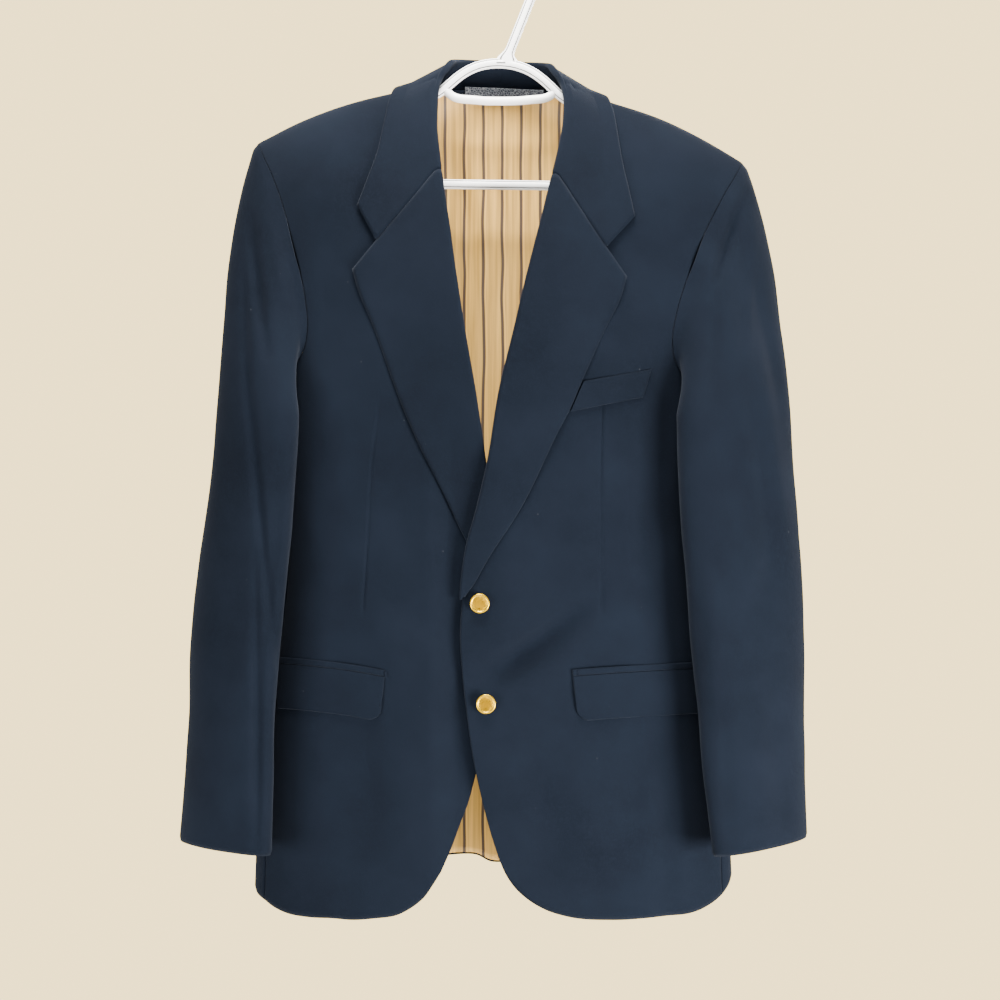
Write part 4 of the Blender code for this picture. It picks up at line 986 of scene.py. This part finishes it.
# ---------------------------------------------------------------- pieces

def linked(name, data):
    """A new object in the scene."""
    made = bpy.data.objects.new(name, data)
    bpy.context.scene.collection.objects.link(made)
    return made


def piece_from(name, mesh, material, nodes):
    """An object that stands for the named solids."""
    mesh.materials.append(material)
    piece = linked(name, mesh)
    if nodes:
        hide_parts(*nodes)
    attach(piece, "root")
    return piece


def cloth_piece(solid, grid, material=None, flip=False,
                wall=WALL, offset=-1.0, plumb=False):
    """A thin cloth shell on a grid of points, which stands for a solid.

    flat is its cut: width and length in millimetres, and area in square metres where it isn't their
    The map of its weave is in metres, hung plumb or along the grid.
    """
    if flip:
        grid = grid[:, ::-1]
    rows, columns = grid.shape[:2]
    across, down = grid[..., 0], -grid[..., 2]
    if not plumb:
        across, down = edge_distance(grid, "inner"), edge_distance(grid, "top")
        across = across - across[:, columns // 2][:, None]
    mesh = bpy.data.meshes.new(solid)
    index = np.arange(rows * columns).reshape(rows, columns)
    faces = np.stack([index[:-1, :-1], index[1:, :-1], index[1:, 1:], index[:-1, 1:]], axis=-1).reshape(-1, 4)
    mesh.from_pydata(grid.reshape(-1, 3).tolist(), [], faces.tolist())
    layer = mesh.uv_layers.new(name="weave")
    place = np.stack([across, down], axis=-1).reshape(-1, 2)
    layer.data.foreach_set("uv", place[faces.reshape(-1)].reshape(-1).astype(np.float32))
    mesh.shade_smooth()
    piece = piece_from(f"{solid}_cloth", mesh, material or finish("wool_navy_finish", wool), [solid])
    shell = piece.modifiers.new("wall", "SOLIDIFY")
    shell.thickness = wall * MM
    shell.offset = offset
    shell.use_even_offset = False
    shell.use_quality_normals = True


def lofted(build, rings, closed=False):
    """Faces between rings of world points, in order; gives the rings' corners and the faces."""
    rings = [[build.verts.new(point) for point in ring] for ring in rings]
    faces = []
    for first, second in zip(rings, rings[1:] + rings[:1] if closed else rings[1:]):
        for step in range(len(first)):
            after = (step + 1) % len(first)
            faces.append(build.faces.new((first[step], first[after], second[after], second[step])))
    return rings, faces


def mesh_from(name, build):
    """A smooth mesh from what was built, facing outwards."""
    mesh = bpy.data.meshes.new(name)
    bmesh.ops.recalc_face_normals(build, faces=build.faces)
    build.to_mesh(mesh)
    build.free()
    mesh.shade_smooth()
    return mesh


# ---------------------------------------------------------------- sewing

def stitches(name, pairs, radius, sides=6):
    """Short rounded stitches between pairs of world points in metres."""
    build = bmesh.new()
    for start, end in pairs:
        length = np.linalg.norm(end - start)
        line = (end - start) / length
        side_way = np.cross(line, (0.0, 1.0, 0.0) if abs(line[1]) < 0.9 else (1.0, 0.0, 0.0))
        side_way /= np.linalg.norm(side_way)
        angle = (2 * math.pi * np.arange(sides) / sides)[:, None]
        round_it = side_way * np.cos(angle) + np.cross(side_way, line) * np.sin(angle)
        rings, _ = lofted(build, [
            start + line * length * share + round_it * radius * swell * MM
            for share, swell in STITCH_SWELL
        ])
        build.faces.new(rings[0][::-1])
        build.faces.new(rings[-1])
    return mesh_from(name, build)


def worked_hole(side, start, end, lift):
    """The close stitches round a buttonhole from start to end: x and drop on a front."""
    start, end = np.array(start, dtype=float), np.array(end, dtype=float)
    length = np.linalg.norm(end - start)
    along = (end - start) / length
    across = np.array([-along[1], along[0]])
    pairs = []
    for share in np.arange(0.0, 1.0001, HOLE_STEP / length):
        for way in (-1, 1):
            near = start + (end - start) * share + across * way * 0.12
            far = near + across * way * HOLE_STITCH
            pairs.append((body(side, *near, lift=lift + 0.15), body(side, *far, lift=lift - 0.12)))
    for place in (start, end):
        pairs.append([body(side, *(place + across * way * HOLE_STITCH), lift=lift + 0.1) for way in (-1, 1)])
    return pairs


def bar_tack(side, x, drop, lift, length):
    """Close upright stitches that hold the end of a pocket."""
    return [[body(side, x + step, drop + down, lift=lift) for down in (0, length)]
            for step in (-0.75, -0.25, 0.25, 0.75)]


# ---------------------------------------------------------------- buttons and hanger

def button_mesh(name):
    """A blazer button: a domed face within a raised rim, turned about Z."""
    disc = BUTTON_BASE_LIFT + SHANK_HEIGHT
    top = disc + BUTTON_THICKNESS
    points = [(share * BUTTON_RADIUS, top - depth) for share, depth in BUTTON_FACE]
    points += [(SHANK_RADIUS * 1.4, disc), (SHANK_RADIUS, disc - 0.5), (SHANK_RADIUS, BUTTON_BASE_LIFT)]
    build = bmesh.new()
    angle = 2 * math.pi * np.arange(BUTTON_STEPS) / BUTTON_STEPS
    rings, _ = lofted(build, [
        np.column_stack([radius * np.cos(angle), radius * np.sin(angle), np.full(BUTTON_STEPS, height)]) * MM
        for radius, height in points[1:]
    ])
    middle = build.verts.new((0, 0, points[0][1] * MM))
    for step in range(BUTTON_STEPS):
        build.faces.new((middle, rings[0][step], rings[0][(step + 1) % BUTTON_STEPS]))
    build.faces.new(rings[-1][::-1])
    return mesh_from(f"button_{name}_metal", build)


def hanger_outline():
    """Centre line of the hanger's closed frame, from the crown round by the wearer's left."""
    loop_radius = (BAR_DROP - LOOP_TOP) / 2
    half = [(x, drop, TILT) for x, drop in trace(ARCH + ARM + [(LOOP_X, LOOP_TOP)], np.linspace(0, 1, 17))]
    for angle in np.radians(np.linspace(90, -90, 8)[1:-1]):
        share = (1 - math.sin(angle)) / 2
        drop = LOOP_TOP + 2 * loop_radius * share
        half.append((LOOP_X + loop_radius * math.cos(angle), drop, TILT + (BAR_TILT - TILT) * share))
    half += [(x, BAR_DROP, BAR_TILT) for x in (LOOP_X, 130.0, 65.0)]
    points = [(HANGER_X + x, drop + tilt * x) for x, drop, tilt in half]
    points.append((HANGER_X, BAR_DROP))
    return points + [(HANGER_X - x, drop - tilt * x) for x, drop, tilt in reversed(half[1:])]


def hook_line():
    """Centre line of the hook, from the stem's upper end round to its tip."""
    centre_drop = HOOK_RADIUS - TUBE
    angles = np.radians(np.linspace(STEM_ANGLE, HOOK_END_ANGLE, 90))
    return np.column_stack([HOOK_RADIUS * np.cos(angles), centre_drop - HOOK_RADIUS * np.sin(angles)])


def stem_line():
    """Centre line of the stem, from inside the arch to the hook."""
    start, middle, end = np.array(STEM_ROOT)
    s = np.linspace(0, 1, 16)[:, None]
    root = start * (1 - s) ** 2 + middle * 2 * s * (1 - s) + end * s ** 2
    return np.concatenate([root, end + (hook_line()[0] - end) * np.linspace(0, 0.97, 24)[1:, None]])


def smoothed(points, count):
    """A closed line through points, evenly spaced and with its corners eased."""
    points = np.array(points + points[:1])
    run = run_length(points)
    line = points_at(np.linspace(0, run[-1], count, endpoint=False), run, points)
    for _ in range(EASE_TIMES):
        line = line * 0.5 + (np.roll(line, 1, axis=0) + np.roll(line, -1, axis=0)) * 0.25
    return line


def moulded(name, lines):
    """Plastic bars along lines of world x and drop, with a fine groove along each side of their faces.

    Each line has its points, how much wider it is at each of them, its radius, whether it is closed,
    and the depth of its groove.
    """
    build = bmesh.new()
    turn = np.linspace(0, 2 * math.pi, TUBE_STEPS, endpoint=False)
    u, level = np.cos(turn), np.sin(turn)
    in_groove = np.exp(-(((np.abs(u) - GROOVE_PLACE) / GROOVE_WIDTH) ** 2)) * (np.abs(level) > 0.3)
    for points, wide, radius, closed, groove in lines:
        if closed:
            ahead, behind = np.roll(points, -1, axis=0), np.roll(points, 1, axis=0)
        else:
            ahead, behind = np.vstack([points[1:], points[-1:]]), np.vstack([points[:1], points[:-1]])
        tangent = ahead - behind
        tangent /= np.linalg.norm(tangent, axis=1, keepdims=True)
        sunk = groove * in_groove
        v = level - np.sign(level) * sunk / radius
        x = points[:, :1] - tangent[:, 1:] * u * radius * wide[:, None]
        drop = points[:, 1:] + tangent[:, :1] * u * radius * wide[:, None]
        tube = np.stack([x, np.broadcast_to(v * radius, x.shape), -drop], axis=-1) * MM
        rings, faces = lofted(build, tube, closed)
        # Faces deep in a groove take the second material, dark grey plastic: painted shade in the groove.
        for count, face in enumerate(faces):
            step = count % TUBE_STEPS
            face.material_index = int(sunk[step] + sunk[(step + 1) % TUBE_STEPS] > 1.1 * GROOVE)
        for place, ring in () if closed else ((points[0], rings[0]), (points[-1], rings[-1][::-1])):
            hub = build.verts.new((place[0] * MM, 0, -place[1] * MM))
            for step in range(TUBE_STEPS):
                build.faces.new((hub, ring[(step + 1) % TUBE_STEPS], ring[step]))
    return mesh_from(name, build)


# ---------------------------------------------------------------- finishes

def fill(tree, made, inputs):
    """Sets a node's inputs, by name or number: each to a value or to another node's socket."""
    for key, value in inputs.items():
        if isinstance(value, bpy.types.NodeSocket):
            tree.links.new(value, made.inputs[key])
        else:
            made.inputs[key].default_value = value


def node(tree, kind, inputs, output=0, **settings):
    """An output of a new node with its settings and inputs."""
    made = tree.nodes.new("ShaderNode" + kind)
    for key, value in settings.items():
        setattr(made, key, value)
    fill(tree, made, inputs)
    return made.outputs[output]


def noise(tree, place, scale, detail=2.0, roughness=0.5, output="Fac"):
    return node(tree, "TexNoise", {"Vector": place, "Scale": scale, "Detail": detail, "Roughness": roughness},
                output)


def maths(tree, operation, *values):
    return node(tree, "Math", dict(enumerate(values)), operation=operation)


def mixed(tree, factor, first, second, blend="MIX"):
    return node(tree, "Mix", {0: factor, 6: first, 7: second}, 2, data_type="RGBA", blend_type=blend)


def ramp(tree, factor, *stops):
    """A colour ramp of grey values: place, value."""
    made = tree.nodes.new("ShaderNodeValToRGB")
    tree.links.new(factor, made.inputs["Fac"])
    elements = made.color_ramp.elements
    for element, (place, value) in ((elements[0], stops[0]), (elements[1], stops[-1])):
        element.position = place
        element.color = (value, value, value, 1)
    for place, value in stops[1:-1]:
        elements.new(place).color = (value, value, value, 1)
    return made.outputs["Color"]


def own_place(tree):
    """Places on the piece itself."""
    return node(tree, "TexCoord", {}, "Object")


def weave_place(tree, scale=None):
    """Places on the cloth's own map, in metres, or in threads where scale is threads for each metre."""
    place = node(tree, "UVMap", {}, uv_map="weave")
    if scale is None:
        return place
    return node(tree, "Mapping", {"Vector": place, "Scale": (scale, scale, scale)})


def finish(name, recipe, *settings):
    """The named material. Its recipe gives the shader's inputs, and the bump's height, strength and depth."""
    material = bpy.data.materials.get(name)
    if material is None:
        material = bpy.data.materials.new(name)
        material.use_nodes = True
        tree = material.node_tree
        inputs, bump = recipe(tree, *settings)
        if bump:
            inputs["Normal"] = node(tree, "Bump", dict(zip(("Height", "Strength", "Distance"), bump)))
        fill(tree, tree.nodes["Principled BSDF"], inputs)
    return material


def wool(tree):
    """Fine worsted: a close twill with a dusty bloom, a few light lint specks and a soft sheen."""
    sizes = bpy.context.scene.blazer_cloth
    place, threads = own_place(tree), weave_place(tree, 1000.0 / sizes.thread)
    twill = node(tree, "TexWave", {"Vector": threads, "Scale": 0.5, "Distortion": 1.5, "Detail": 1.0},
                 bands_direction="DIAGONAL")
    dark, light = (*sizes.wool, 1), (*sizes.bloom, 1)
    bloom = noise(tree, place, 9.0, 4.0, 0.6)
    colour = mixed(tree, ramp(tree, bloom, (0.3, 0.0), (0.72, 0.8)), dark, light)
    fuzz = noise(tree, place, 620.0)
    colour = mixed(tree, ramp(tree, fuzz, (0.45, 0.0), (0.7, 0.5)), colour, light)
    yarn = noise(tree, threads, 0.9)
    colour = mixed(tree, ramp(tree, yarn, (0.3, 0.35), (0.7, 0.0)), colour, dark)
    specks = node(tree, "TexVoronoi", {"Vector": place, "Scale": 62.0, "Randomness": 1.0}, "Distance")
    sparse = noise(tree, place, 31.0, 1.0)
    lint = mixed(tree, 1.0, ramp(tree, specks, (0.0, 1.0), (0.055, 0.0)),
                 ramp(tree, sparse, (0.57, 0.0), (0.63, 1.0)), "MULTIPLY")
    rise = mixed(tree, 0.35, twill, noise(tree, place, 620.0, output="Color"))
    return {
        "Base Color": mixed(tree, lint, colour, (*sizes.lint, 1)), "Roughness": 0.9,
        "Specular IOR Level": 0.05, "Sheen Weight": 0.05, "Sheen Roughness": 0.4,
        "Sheen Tint": (0.62, 0.68, 0.8, 1),
    }, (rise, 0.35, 0.0004)


def satin(tree):
    """Tan satin lining with fine dark stripes, each with a painted highlight: a light band beside it."""
    sizes = bpy.context.scene.blazer_lining
    flat = weave_place(tree)
    pitch = sizes.stripe_gap * MM
    sway = maths(tree, "MULTIPLY_ADD", noise(tree, flat, 14.0, 1.0), sizes.sway * MM,
                 node(tree, "SeparateXYZ", {"Vector": flat}, "X"))
    shifted = maths(tree, "ADD", sway, sizes.stripe_start * MM)
    share = maths(tree, "DIVIDE", maths(tree, "FLOORED_MODULO", shifted, pitch), pitch)
    width = sizes.stripe / sizes.stripe_gap
    band = ramp(tree, share, (0.0, 0.0), (0.02, 1.0), (width, 1.0), (width + 0.02, 0.0), (1.0, 0.0))
    # A light band just beside each stripe, in the satin's light colour: a painted highlight.
    edge = ramp(tree, share, (width + 0.02, 0.0), (width + 0.04, 1.0), (width + 0.09, 1.0),
                (width + 0.12, 0.0), (1.0, 0.0))
    stretched = node(tree, "Mapping", {"Vector": flat, "Scale": (260.0, 7.0, 1.0)})
    slub = noise(tree, stretched, 1.0, 3.0)
    light = (*sizes.satin_light, 1)
    base = mixed(tree, ramp(tree, slub, (0.35, 0.0), (0.7, 1.0)), (*sizes.satin, 1), light)
    colour = mixed(tree, edge, mixed(tree, band, base, (*sizes.stripe_colour, 1)), light)
    return {"Base Color": colour, "Roughness": 0.45, "Specular IOR Level": 0.22, "Sheen Weight": 0.05}, (
        slub, 0.25, 0.0003)


def woven_label(tree):
    """Dense dark label cloth with fine cross threads."""
    threads = weave_place(tree, 2500.0)
    wave = node(tree, "TexWave", {"Vector": threads, "Scale": 0.5}, "Fac", bands_direction="Y")
    figure = node(tree, "TexVoronoi", {"Vector": weave_place(tree), "Scale": 420.0},
                  feature="DISTANCE_TO_EDGE")
    tone = mixed(tree, noise(tree, threads, 0.3, 3.0), (0.004, 0.005, 0.008, 1), (0.016, 0.018, 0.024, 1))
    tone = mixed(tree, ramp(tree, figure, (0.0, 1.0), (0.08, 0.0)), tone, (0.11, 0.115, 0.12, 1))
    return {"Base Color": tone, "Roughness": 0.8, "Specular IOR Level": 0.06}, (wave, 0.4, 0.0003)


def gilt(tree):
    """Polished gilt metal, a little worn and dulled between its high places."""
    sizes = bpy.context.scene.blazer_trim
    place = own_place(tree)
    tarnish = noise(tree, place, 420.0, 3.0)
    face = {axis: node(tree, "SeparateXYZ", {"Vector": place}, axis) for axis in "XY"}
    reach = node(tree, "VectorMath", {0: node(tree, "CombineXYZ", face)}, "Value", operation="LENGTH")
    share = maths(tree, "DIVIDE", reach, BUTTON_RADIUS * MM)
    centre = ramp(tree, share, (0.0, 0.85), (0.66, 0.7), (0.76, 0.0), (1.0, 0.0))
    worn = mixed(tree, 0.5, centre, ramp(tree, tarnish, (0.4, 0.0), (0.65, 1.0)), "ADD")
    return {
        "Base Color": mixed(tree, worn, (*sizes.gilt, 1), (*sizes.gilt_dull, 1)), "Metallic": 1.0,
        "Roughness": ramp(tree, tarnish, (0.3, 0.24), (0.7, 0.4)),
    }, (mixed(tree, 0.5, tarnish, noise(tree, place, 1500.0)), 0.6, 0.0004)


def thread(tree, colour):
    """Twisted sewing thread."""
    wave = node(tree, "TexWave", {"Vector": own_place(tree), "Scale": 900.0, "Distortion": 2.0}, "Fac",
                bands_direction="DIAGONAL")
    tone = mixed(tree, wave, (*[c * 0.7 for c in colour], 1), (*colour, 1))
    return {"Base Color": tone, "Roughness": 0.85, "Specular IOR Level": 0.05}, (wave, 0.4, 0.0002)


def white_plastic(tree):
    """Moulded white plastic with a soft gloss and faint scuffs."""
    white = bpy.context.scene.blazer_trim.plastic
    place = own_place(tree)
    cloud = noise(tree, place, 55.0, 3.0)
    return {
        "Base Color": mixed(tree, cloud, (*white, 1), (*[c * 0.94 for c in white], 1)),
        "Roughness": ramp(tree, cloud, (0.3, 0.22), (0.8, 0.38)), "Coat Weight": 0.3,
    }, (noise(tree, place, 900.0), 0.06, 0.0003)


def painted_shade_plastic(tree):
    """Painted shade: dark grey plastic for the moulding's slot and for the faces deep in its fine grooves."""
    cloud = noise(tree, own_place(tree), 300.0)
    tone = mixed(tree, cloud, (0.07, 0.068, 0.066, 1), (0.11, 0.107, 0.104, 1))
    return {"Base Color": tone, "Roughness": 0.6}, None


def pale_floor(tree):
    return {"Base Color": (0.8, 0.78, 0.74, 1), "Roughness": 0.9}, None


# ---------------------------------------------------------------- settings

def tint(name, about, *value):
    """A colour that the panel offers."""
    return FloatVectorProperty(name=name, description=about, subtype="COLOR", default=value)


def amount(name, about, value, unit="NONE"):
    """A size or strength that the panel offers."""
    return FloatProperty(name=name, description=about, default=value, unit=unit)


class BlazerCloth(bpy.types.PropertyGroup):
    wool: tint("Wool", "Colour of the wool's dark threads", 0.0018, 0.0031, 0.0061)
    bloom: tint("Bloom", "Colour of the wool's light bloom", 0.0046, 0.0071, 0.0127)
    lint: tint("Lint", "Colour of the small lint specks", 0.032, 0.036, 0.042)
    yarn: tint("Sewing thread", "Colour of the sewing thread", 0.006, 0.0085, 0.015)
    thread: amount("Thread", "Width of one thread of the wool in millimetres", 0.5)


class BlazerLining(bpy.types.PropertyGroup):
    satin: tint("Satin", "Colour of the lining", 0.50, 0.285, 0.064)
    # Satin light also colours the painted highlight in the light band beside each stripe.
    satin_light: tint("Satin light", "Colour of its lighter threads", 0.80, 0.47, 0.108)
    stripe_colour: tint("Stripe colour", "Colour of the lining's stripes", 0.085, 0.055, 0.037)
    stripe: amount("Stripe", "Width of a stripe in millimetres", 3.1)
    stripe_gap: amount("Stripe gap", "From one stripe to the next in millimetres", 19.9)
    sway: amount("Sway", "How far the stripes wander in millimetres", 5.0)
    stripe_start: amount("Stripe start", "Where the stripes start in millimetres", 0.0)


class BlazerTrim(bpy.types.PropertyGroup):
    gilt: tint("Gilt", "Colour of the buttons", 0.62, 0.385, 0.012)
    gilt_dull: tint("Dull gilt", "Colour of the buttons' worn places", 0.43, 0.225, 0.003)
    plastic: tint("Plastic", "Colour of the hanger", 0.93, 0.93, 0.92)


class BlazerStage(bpy.types.PropertyGroup):
    wall: tint("Surroundings", "Colour of the room", 1.0, 0.77, 0.36)
    wall_light: amount("Surroundings' brightness", "Brightness of the room behind", 3.2)
    light: tint("Light", "Colour of the light all round", 1.0, 0.97, 0.92)
    key: amount("Key light", "Strength of the light low on the right", 84.0)
    fill: amount("Fill light", "Strength of the light low on the left", 28.0)
    front: amount("Front light", "Strength of the light near the camera", 8.0)
    top: amount("Top light", "Strength of the light over the shoulders", 72.0)
    room: amount("Room light", "Strength of the light all round", 1.0)
    distance: amount("Camera distance", "From the camera to the fronts", 2.0, unit="LENGTH")


# ---------------------------------------------------------------- operators

def aim_at(direction):
    """Rotation that points a light along a direction."""
    x, y, z = direction / np.linalg.norm(direction)
    return (math.acos(-z), 0.0, math.atan2(-x, y))


class PieceOperator:
    bl_options = {"REGISTER", "UNDO"}


class BLAZER_OT_panels(PieceOperator, bpy.types.Operator):
    """Makes the fronts, the backs and the side panels"""

    bl_idname = "blazer.panels"
    bl_label = "Body panels"

    def execute(self, context):
        for side in SIDES:
            right = side == "right"
            cloth_piece(f"front_{side}", front_cloth(side), flip=right)
            cloth_piece(f"back_{side}", back_cloth(side), flip=not right)
            cloth_piece(f"side_{side}", side_cloth(side),
                        flip=right)
        return {"FINISHED"}


class BLAZER_OT_lapels(PieceOperator, bpy.types.Operator):
    """Makes the lapels and the collar"""

    bl_idname = "blazer.lapels"
    bl_label = "Lapels and collar"

    def execute(self, context):
        for side in SIDES:
            cloth_piece(f"lapel_{side}", lapel_cloth(side),
                        flip=side == "right", offset=0.0)
        cloth_piece("collar", collar_cloth(),
                    offset=0.0)
        return {"FINISHED"}


class BLAZER_OT_sleeves(PieceOperator, bpy.types.Operator):
    """Makes the two-piece sleeves"""

    bl_idname = "blazer.sleeves"
    bl_label = "Sleeves"

    def execute(self, context):
        for side in SIDES:
            for name, turns, flat in (
                ("top_sleeve", TOP_SLEEVE_ANGLES, (250, 640, 0.127)),
                ("under_sleeve", UNDER_SLEEVE_ANGLES, (150, 500, 0.04)),
            ):
                cloth_piece(f"{name}_{side}", sleeve_cloth(side, turns),
                            flip=side == "left")
        return {"FINISHED"}


class BLAZER_OT_pockets(PieceOperator, bpy.types.Operator):
    """Makes the jets, the flaps and the breast welt"""

    bl_idname = "blazer.pockets"
    bl_label = "Pockets"

    def execute(self, context):
        for side in SIDES:
            jet, flap = pocket_cloth(side)
            front, right = [f"front_{side}_cloth"], side == "right"
            cloth_piece(f"jet_{side}", jet, flip=right,
                        wall=JET_WALL)
            cloth_piece(f"flap_{side}", flap, flip=right)
        cloth_piece("breast_welt", welt_cloth())
        return {"FINISHED"}


class BLAZER_OT_lining(PieceOperator, bpy.types.Operator):
    """Makes the striped back lining and the neck label"""

    bl_idname = "blazer.lining"
    bl_label = "Lining and label"

    def execute(self, context):
        cloth_piece("lining_back", lining_cloth(),
                    material=finish("lining_satin_finish", satin), wall=LINING_SHELL,
                    offset=1.0, plumb=True)
        grid = label_grid(edged(np.linspace(0, 1, 40)), np.linspace(0, 1, 12) * LABEL_SHOWN)
        cloth_piece("neck_label", grid,
                    material=finish("label_finish", woven_label), wall=LABEL_SHELL,
                    offset=1.0)
        return {"FINISHED"}


class BLAZER_OT_sewing(PieceOperator, bpy.types.Operator):
    """Makes the lapel's worked buttonhole and the pockets' bar tacks"""

    bl_idname = "blazer.sewing"
    bl_label = "Sewing"

    def execute(self, context):
        yarn = finish("thread_navy_finish", thread, context.scene.blazer_cloth.yarn)
        sewn = {"lapel_buttonhole": (worked_hole("left", *LAPEL_HOLE, lift=LAPEL_LIFT + WALL / 2), 0.3)}
        for side, x, drop, length in TACKS:
            sewn[f"pocket_{side}_tack"] = (bar_tack(side, x, drop, WALL + LAYER_GAP + 0.25, length), 0.25)
        for name, (pairs, radius) in sewn.items():
            piece_from(name, stitches(f"{name}_stitches", pairs, radius), yarn, [])
        return {"FINISHED"}


class BLAZER_OT_buttons(PieceOperator, bpy.types.Operator):
    """Makes the metal buttons on their shanks"""

    bl_idname = "blazer.buttons"
    bl_label = "Buttons"

    def execute(self, context):
        for name, (x, drop) in BUTTONS.items():
            piece = piece_from(f"button_{name}_metal", button_mesh(name), finish("button_gilt_finish", gilt),
                               [f"button_{name}"])
            piece.location = body("left", x - float(spline(CENTRE_LINE, drop)[0]), drop)
            piece.rotation_euler = (math.pi / 2, 0, 0)
        return {"FINISHED"}


class BLAZER_OT_hanger(PieceOperator, bpy.types.Operator):
    """Makes the tubular hanger"""

    bl_idname = "blazer.hanger"
    bl_label = "Hanger"

    def execute(self, context):
        outline, stem, hook = smoothed(hanger_outline(), 300), stem_line(), hook_line()
        bar = trace(NECK_BAR, np.linspace(0, 1, 48)) + (HANGER_X, 0)
        flare = 1 + STEM_FLARE * np.exp(-((run_length(stem) / STEM_FLARE_LENGTH) ** 3))
        mesh = moulded("hanger_plastic_moulding", [
            (outline, np.ones(len(outline)), TUBE, True, GROOVE),
            (bar, np.ones(len(bar)), NECK_BAR_RADIUS, False, 0.0),
            (np.concatenate([stem, hook]), np.concatenate([flare, np.ones(len(hook))]), TUBE, False, GROOVE),
        ])
        # The second material, dark grey plastic, is painted shade on the grooves' faces and in the slot.
        grey = finish("hanger_slot_finish", painted_shade_plastic)
        piece_from("hanger_moulding", mesh, finish("hanger_plastic_finish", white_plastic),
                   ["hanger_frame", "hanger_neck_bar", "hanger_hook"])
        mesh.materials.append(grey)
        # The slot in the crown is a dark grey bar sunk into the tube: painted shade for the slot's inside.
        slot = np.column_stack([HANGER_X + np.linspace(-SLOT_HALF, SLOT_HALF, 9), np.full(9, SLOT_DROP)])
        mark = moulded("hanger_slot_mark", [(slot, np.ones(9), SLOT_RADIUS, False, 0.0)])
        mark.transform(Matrix.Translation((0, -(TUBE - SLOT_INSET) * MM, 0)))
        piece_from("hanger_slot", mark, grey, [])
        return {"FINISHED"}


class BLAZER_OT_stage(PieceOperator, bpy.types.Operator):
    """Makes the floor, the lights and the camera"""

    bl_idname = "blazer.stage"
    bl_label = "Floor, light and camera"

    def execute(self, context):
        sizes, scene = context.scene.blazer_stage, context.scene
        mesh = bpy.data.meshes.new("floor")
        turns = np.linspace(0, 2 * math.pi, FLOOR_CORNERS + 1)[:-1]
        ring = [(FLOOR_RADIUS * math.cos(a), FLOOR_RADIUS * math.sin(a), FLOOR_Z) for a in turns]
        mesh.from_pydata(ring, [], [list(range(FLOOR_CORNERS))])
        mesh.materials.append(finish("floor_pale", pale_floor))
        floor = linked("floor", mesh)
        scene.world = scene.world or bpy.data.worlds.new("room")
        scene.world.use_nodes = True
        tree = scene.world.node_tree
        tree.nodes.clear()
        behind = node(tree, "Background", {"Color": (*sizes.wall, 1), "Strength": sizes.wall_light})
        around = node(tree, "Background", {"Color": (*sizes.light, 1), "Strength": sizes.room})
        seen = node(tree, "LightPath", {}, "Is Camera Ray")
        both = node(tree, "MixShader", {0: seen, 1: around, 2: behind})
        tree.links.new(both, tree.nodes.new("ShaderNodeOutputWorld").inputs["Surface"])
        for name, place, size, strength, glow in LAMPS:
            lamp = bpy.data.lights.new(name, "AREA")
            lamp.size, lamp.energy, lamp.color = size, getattr(sizes, strength), glow
            light = linked(name, lamp)
            light.location = place
            light.rotation_euler = aim_at(np.array(LAMP_AIM) - np.array(place))
            light.visible_camera = False
        camera = bpy.data.cameras.new("camera")
        camera.lens, camera.sensor_width = CAMERA_LENS, CAMERA_SENSOR
        scene.camera = linked("camera", camera)
        scene.camera.location = (CAMERA_X, FRONTS_Y - sizes.distance, CAMERA_Z)
        scene.camera.rotation_euler = (math.pi / 2, 0, 0)
        return {"FINISHED"}


class BLAZER_PT_maker(bpy.types.Panel):
    """Lists the blazer's pieces and sizes"""

    bl_idname = "BLAZER_PT_maker"
    bl_label = "Blazer"
    bl_space_type = "VIEW_3D"
    bl_region_type = "UI"
    bl_category = "Blazer"

    def draw(self, context):
        for group in GROUPS:
            box = self.layout.box()
            settings = getattr(context.scene, group)
            for key in settings.__annotations__:
                box.prop(settings, key)
        for operator in OPERATORS:
            self.layout.operator(operator.bl_idname)


GROUPS = {"blazer_cloth": BlazerCloth, "blazer_lining": BlazerLining, "blazer_trim": BlazerTrim,
          "blazer_stage": BlazerStage}
OPERATORS = (BLAZER_OT_stage, BLAZER_OT_panels, BLAZER_OT_lapels, BLAZER_OT_sleeves, BLAZER_OT_pockets,
             BLAZER_OT_lining, BLAZER_OT_sewing, BLAZER_OT_buttons, BLAZER_OT_hanger)


def register():
    for group in GROUPS.values():
        bpy.utils.register_class(group)
    for name, group in GROUPS.items():
        setattr(bpy.types.Scene, name, PointerProperty(type=group))
    for operator in OPERATORS:
        bpy.utils.register_class(operator)
    bpy.utils.register_class(BLAZER_PT_maker)


def unregister():
    bpy.utils.unregister_class(BLAZER_PT_maker)
    for operator in reversed(OPERATORS):
        bpy.utils.unregister_class(operator)
    for name, group in GROUPS.items():
        delattr(bpy.types.Scene, name)
        bpy.utils.unregister_class(group)


def main():
    register()
    for operator in OPERATORS:
        group, name = operator.bl_idname.split(".")
        getattr(getattr(bpy.ops, group), name)()


if __name__ == "__main__":
    main()
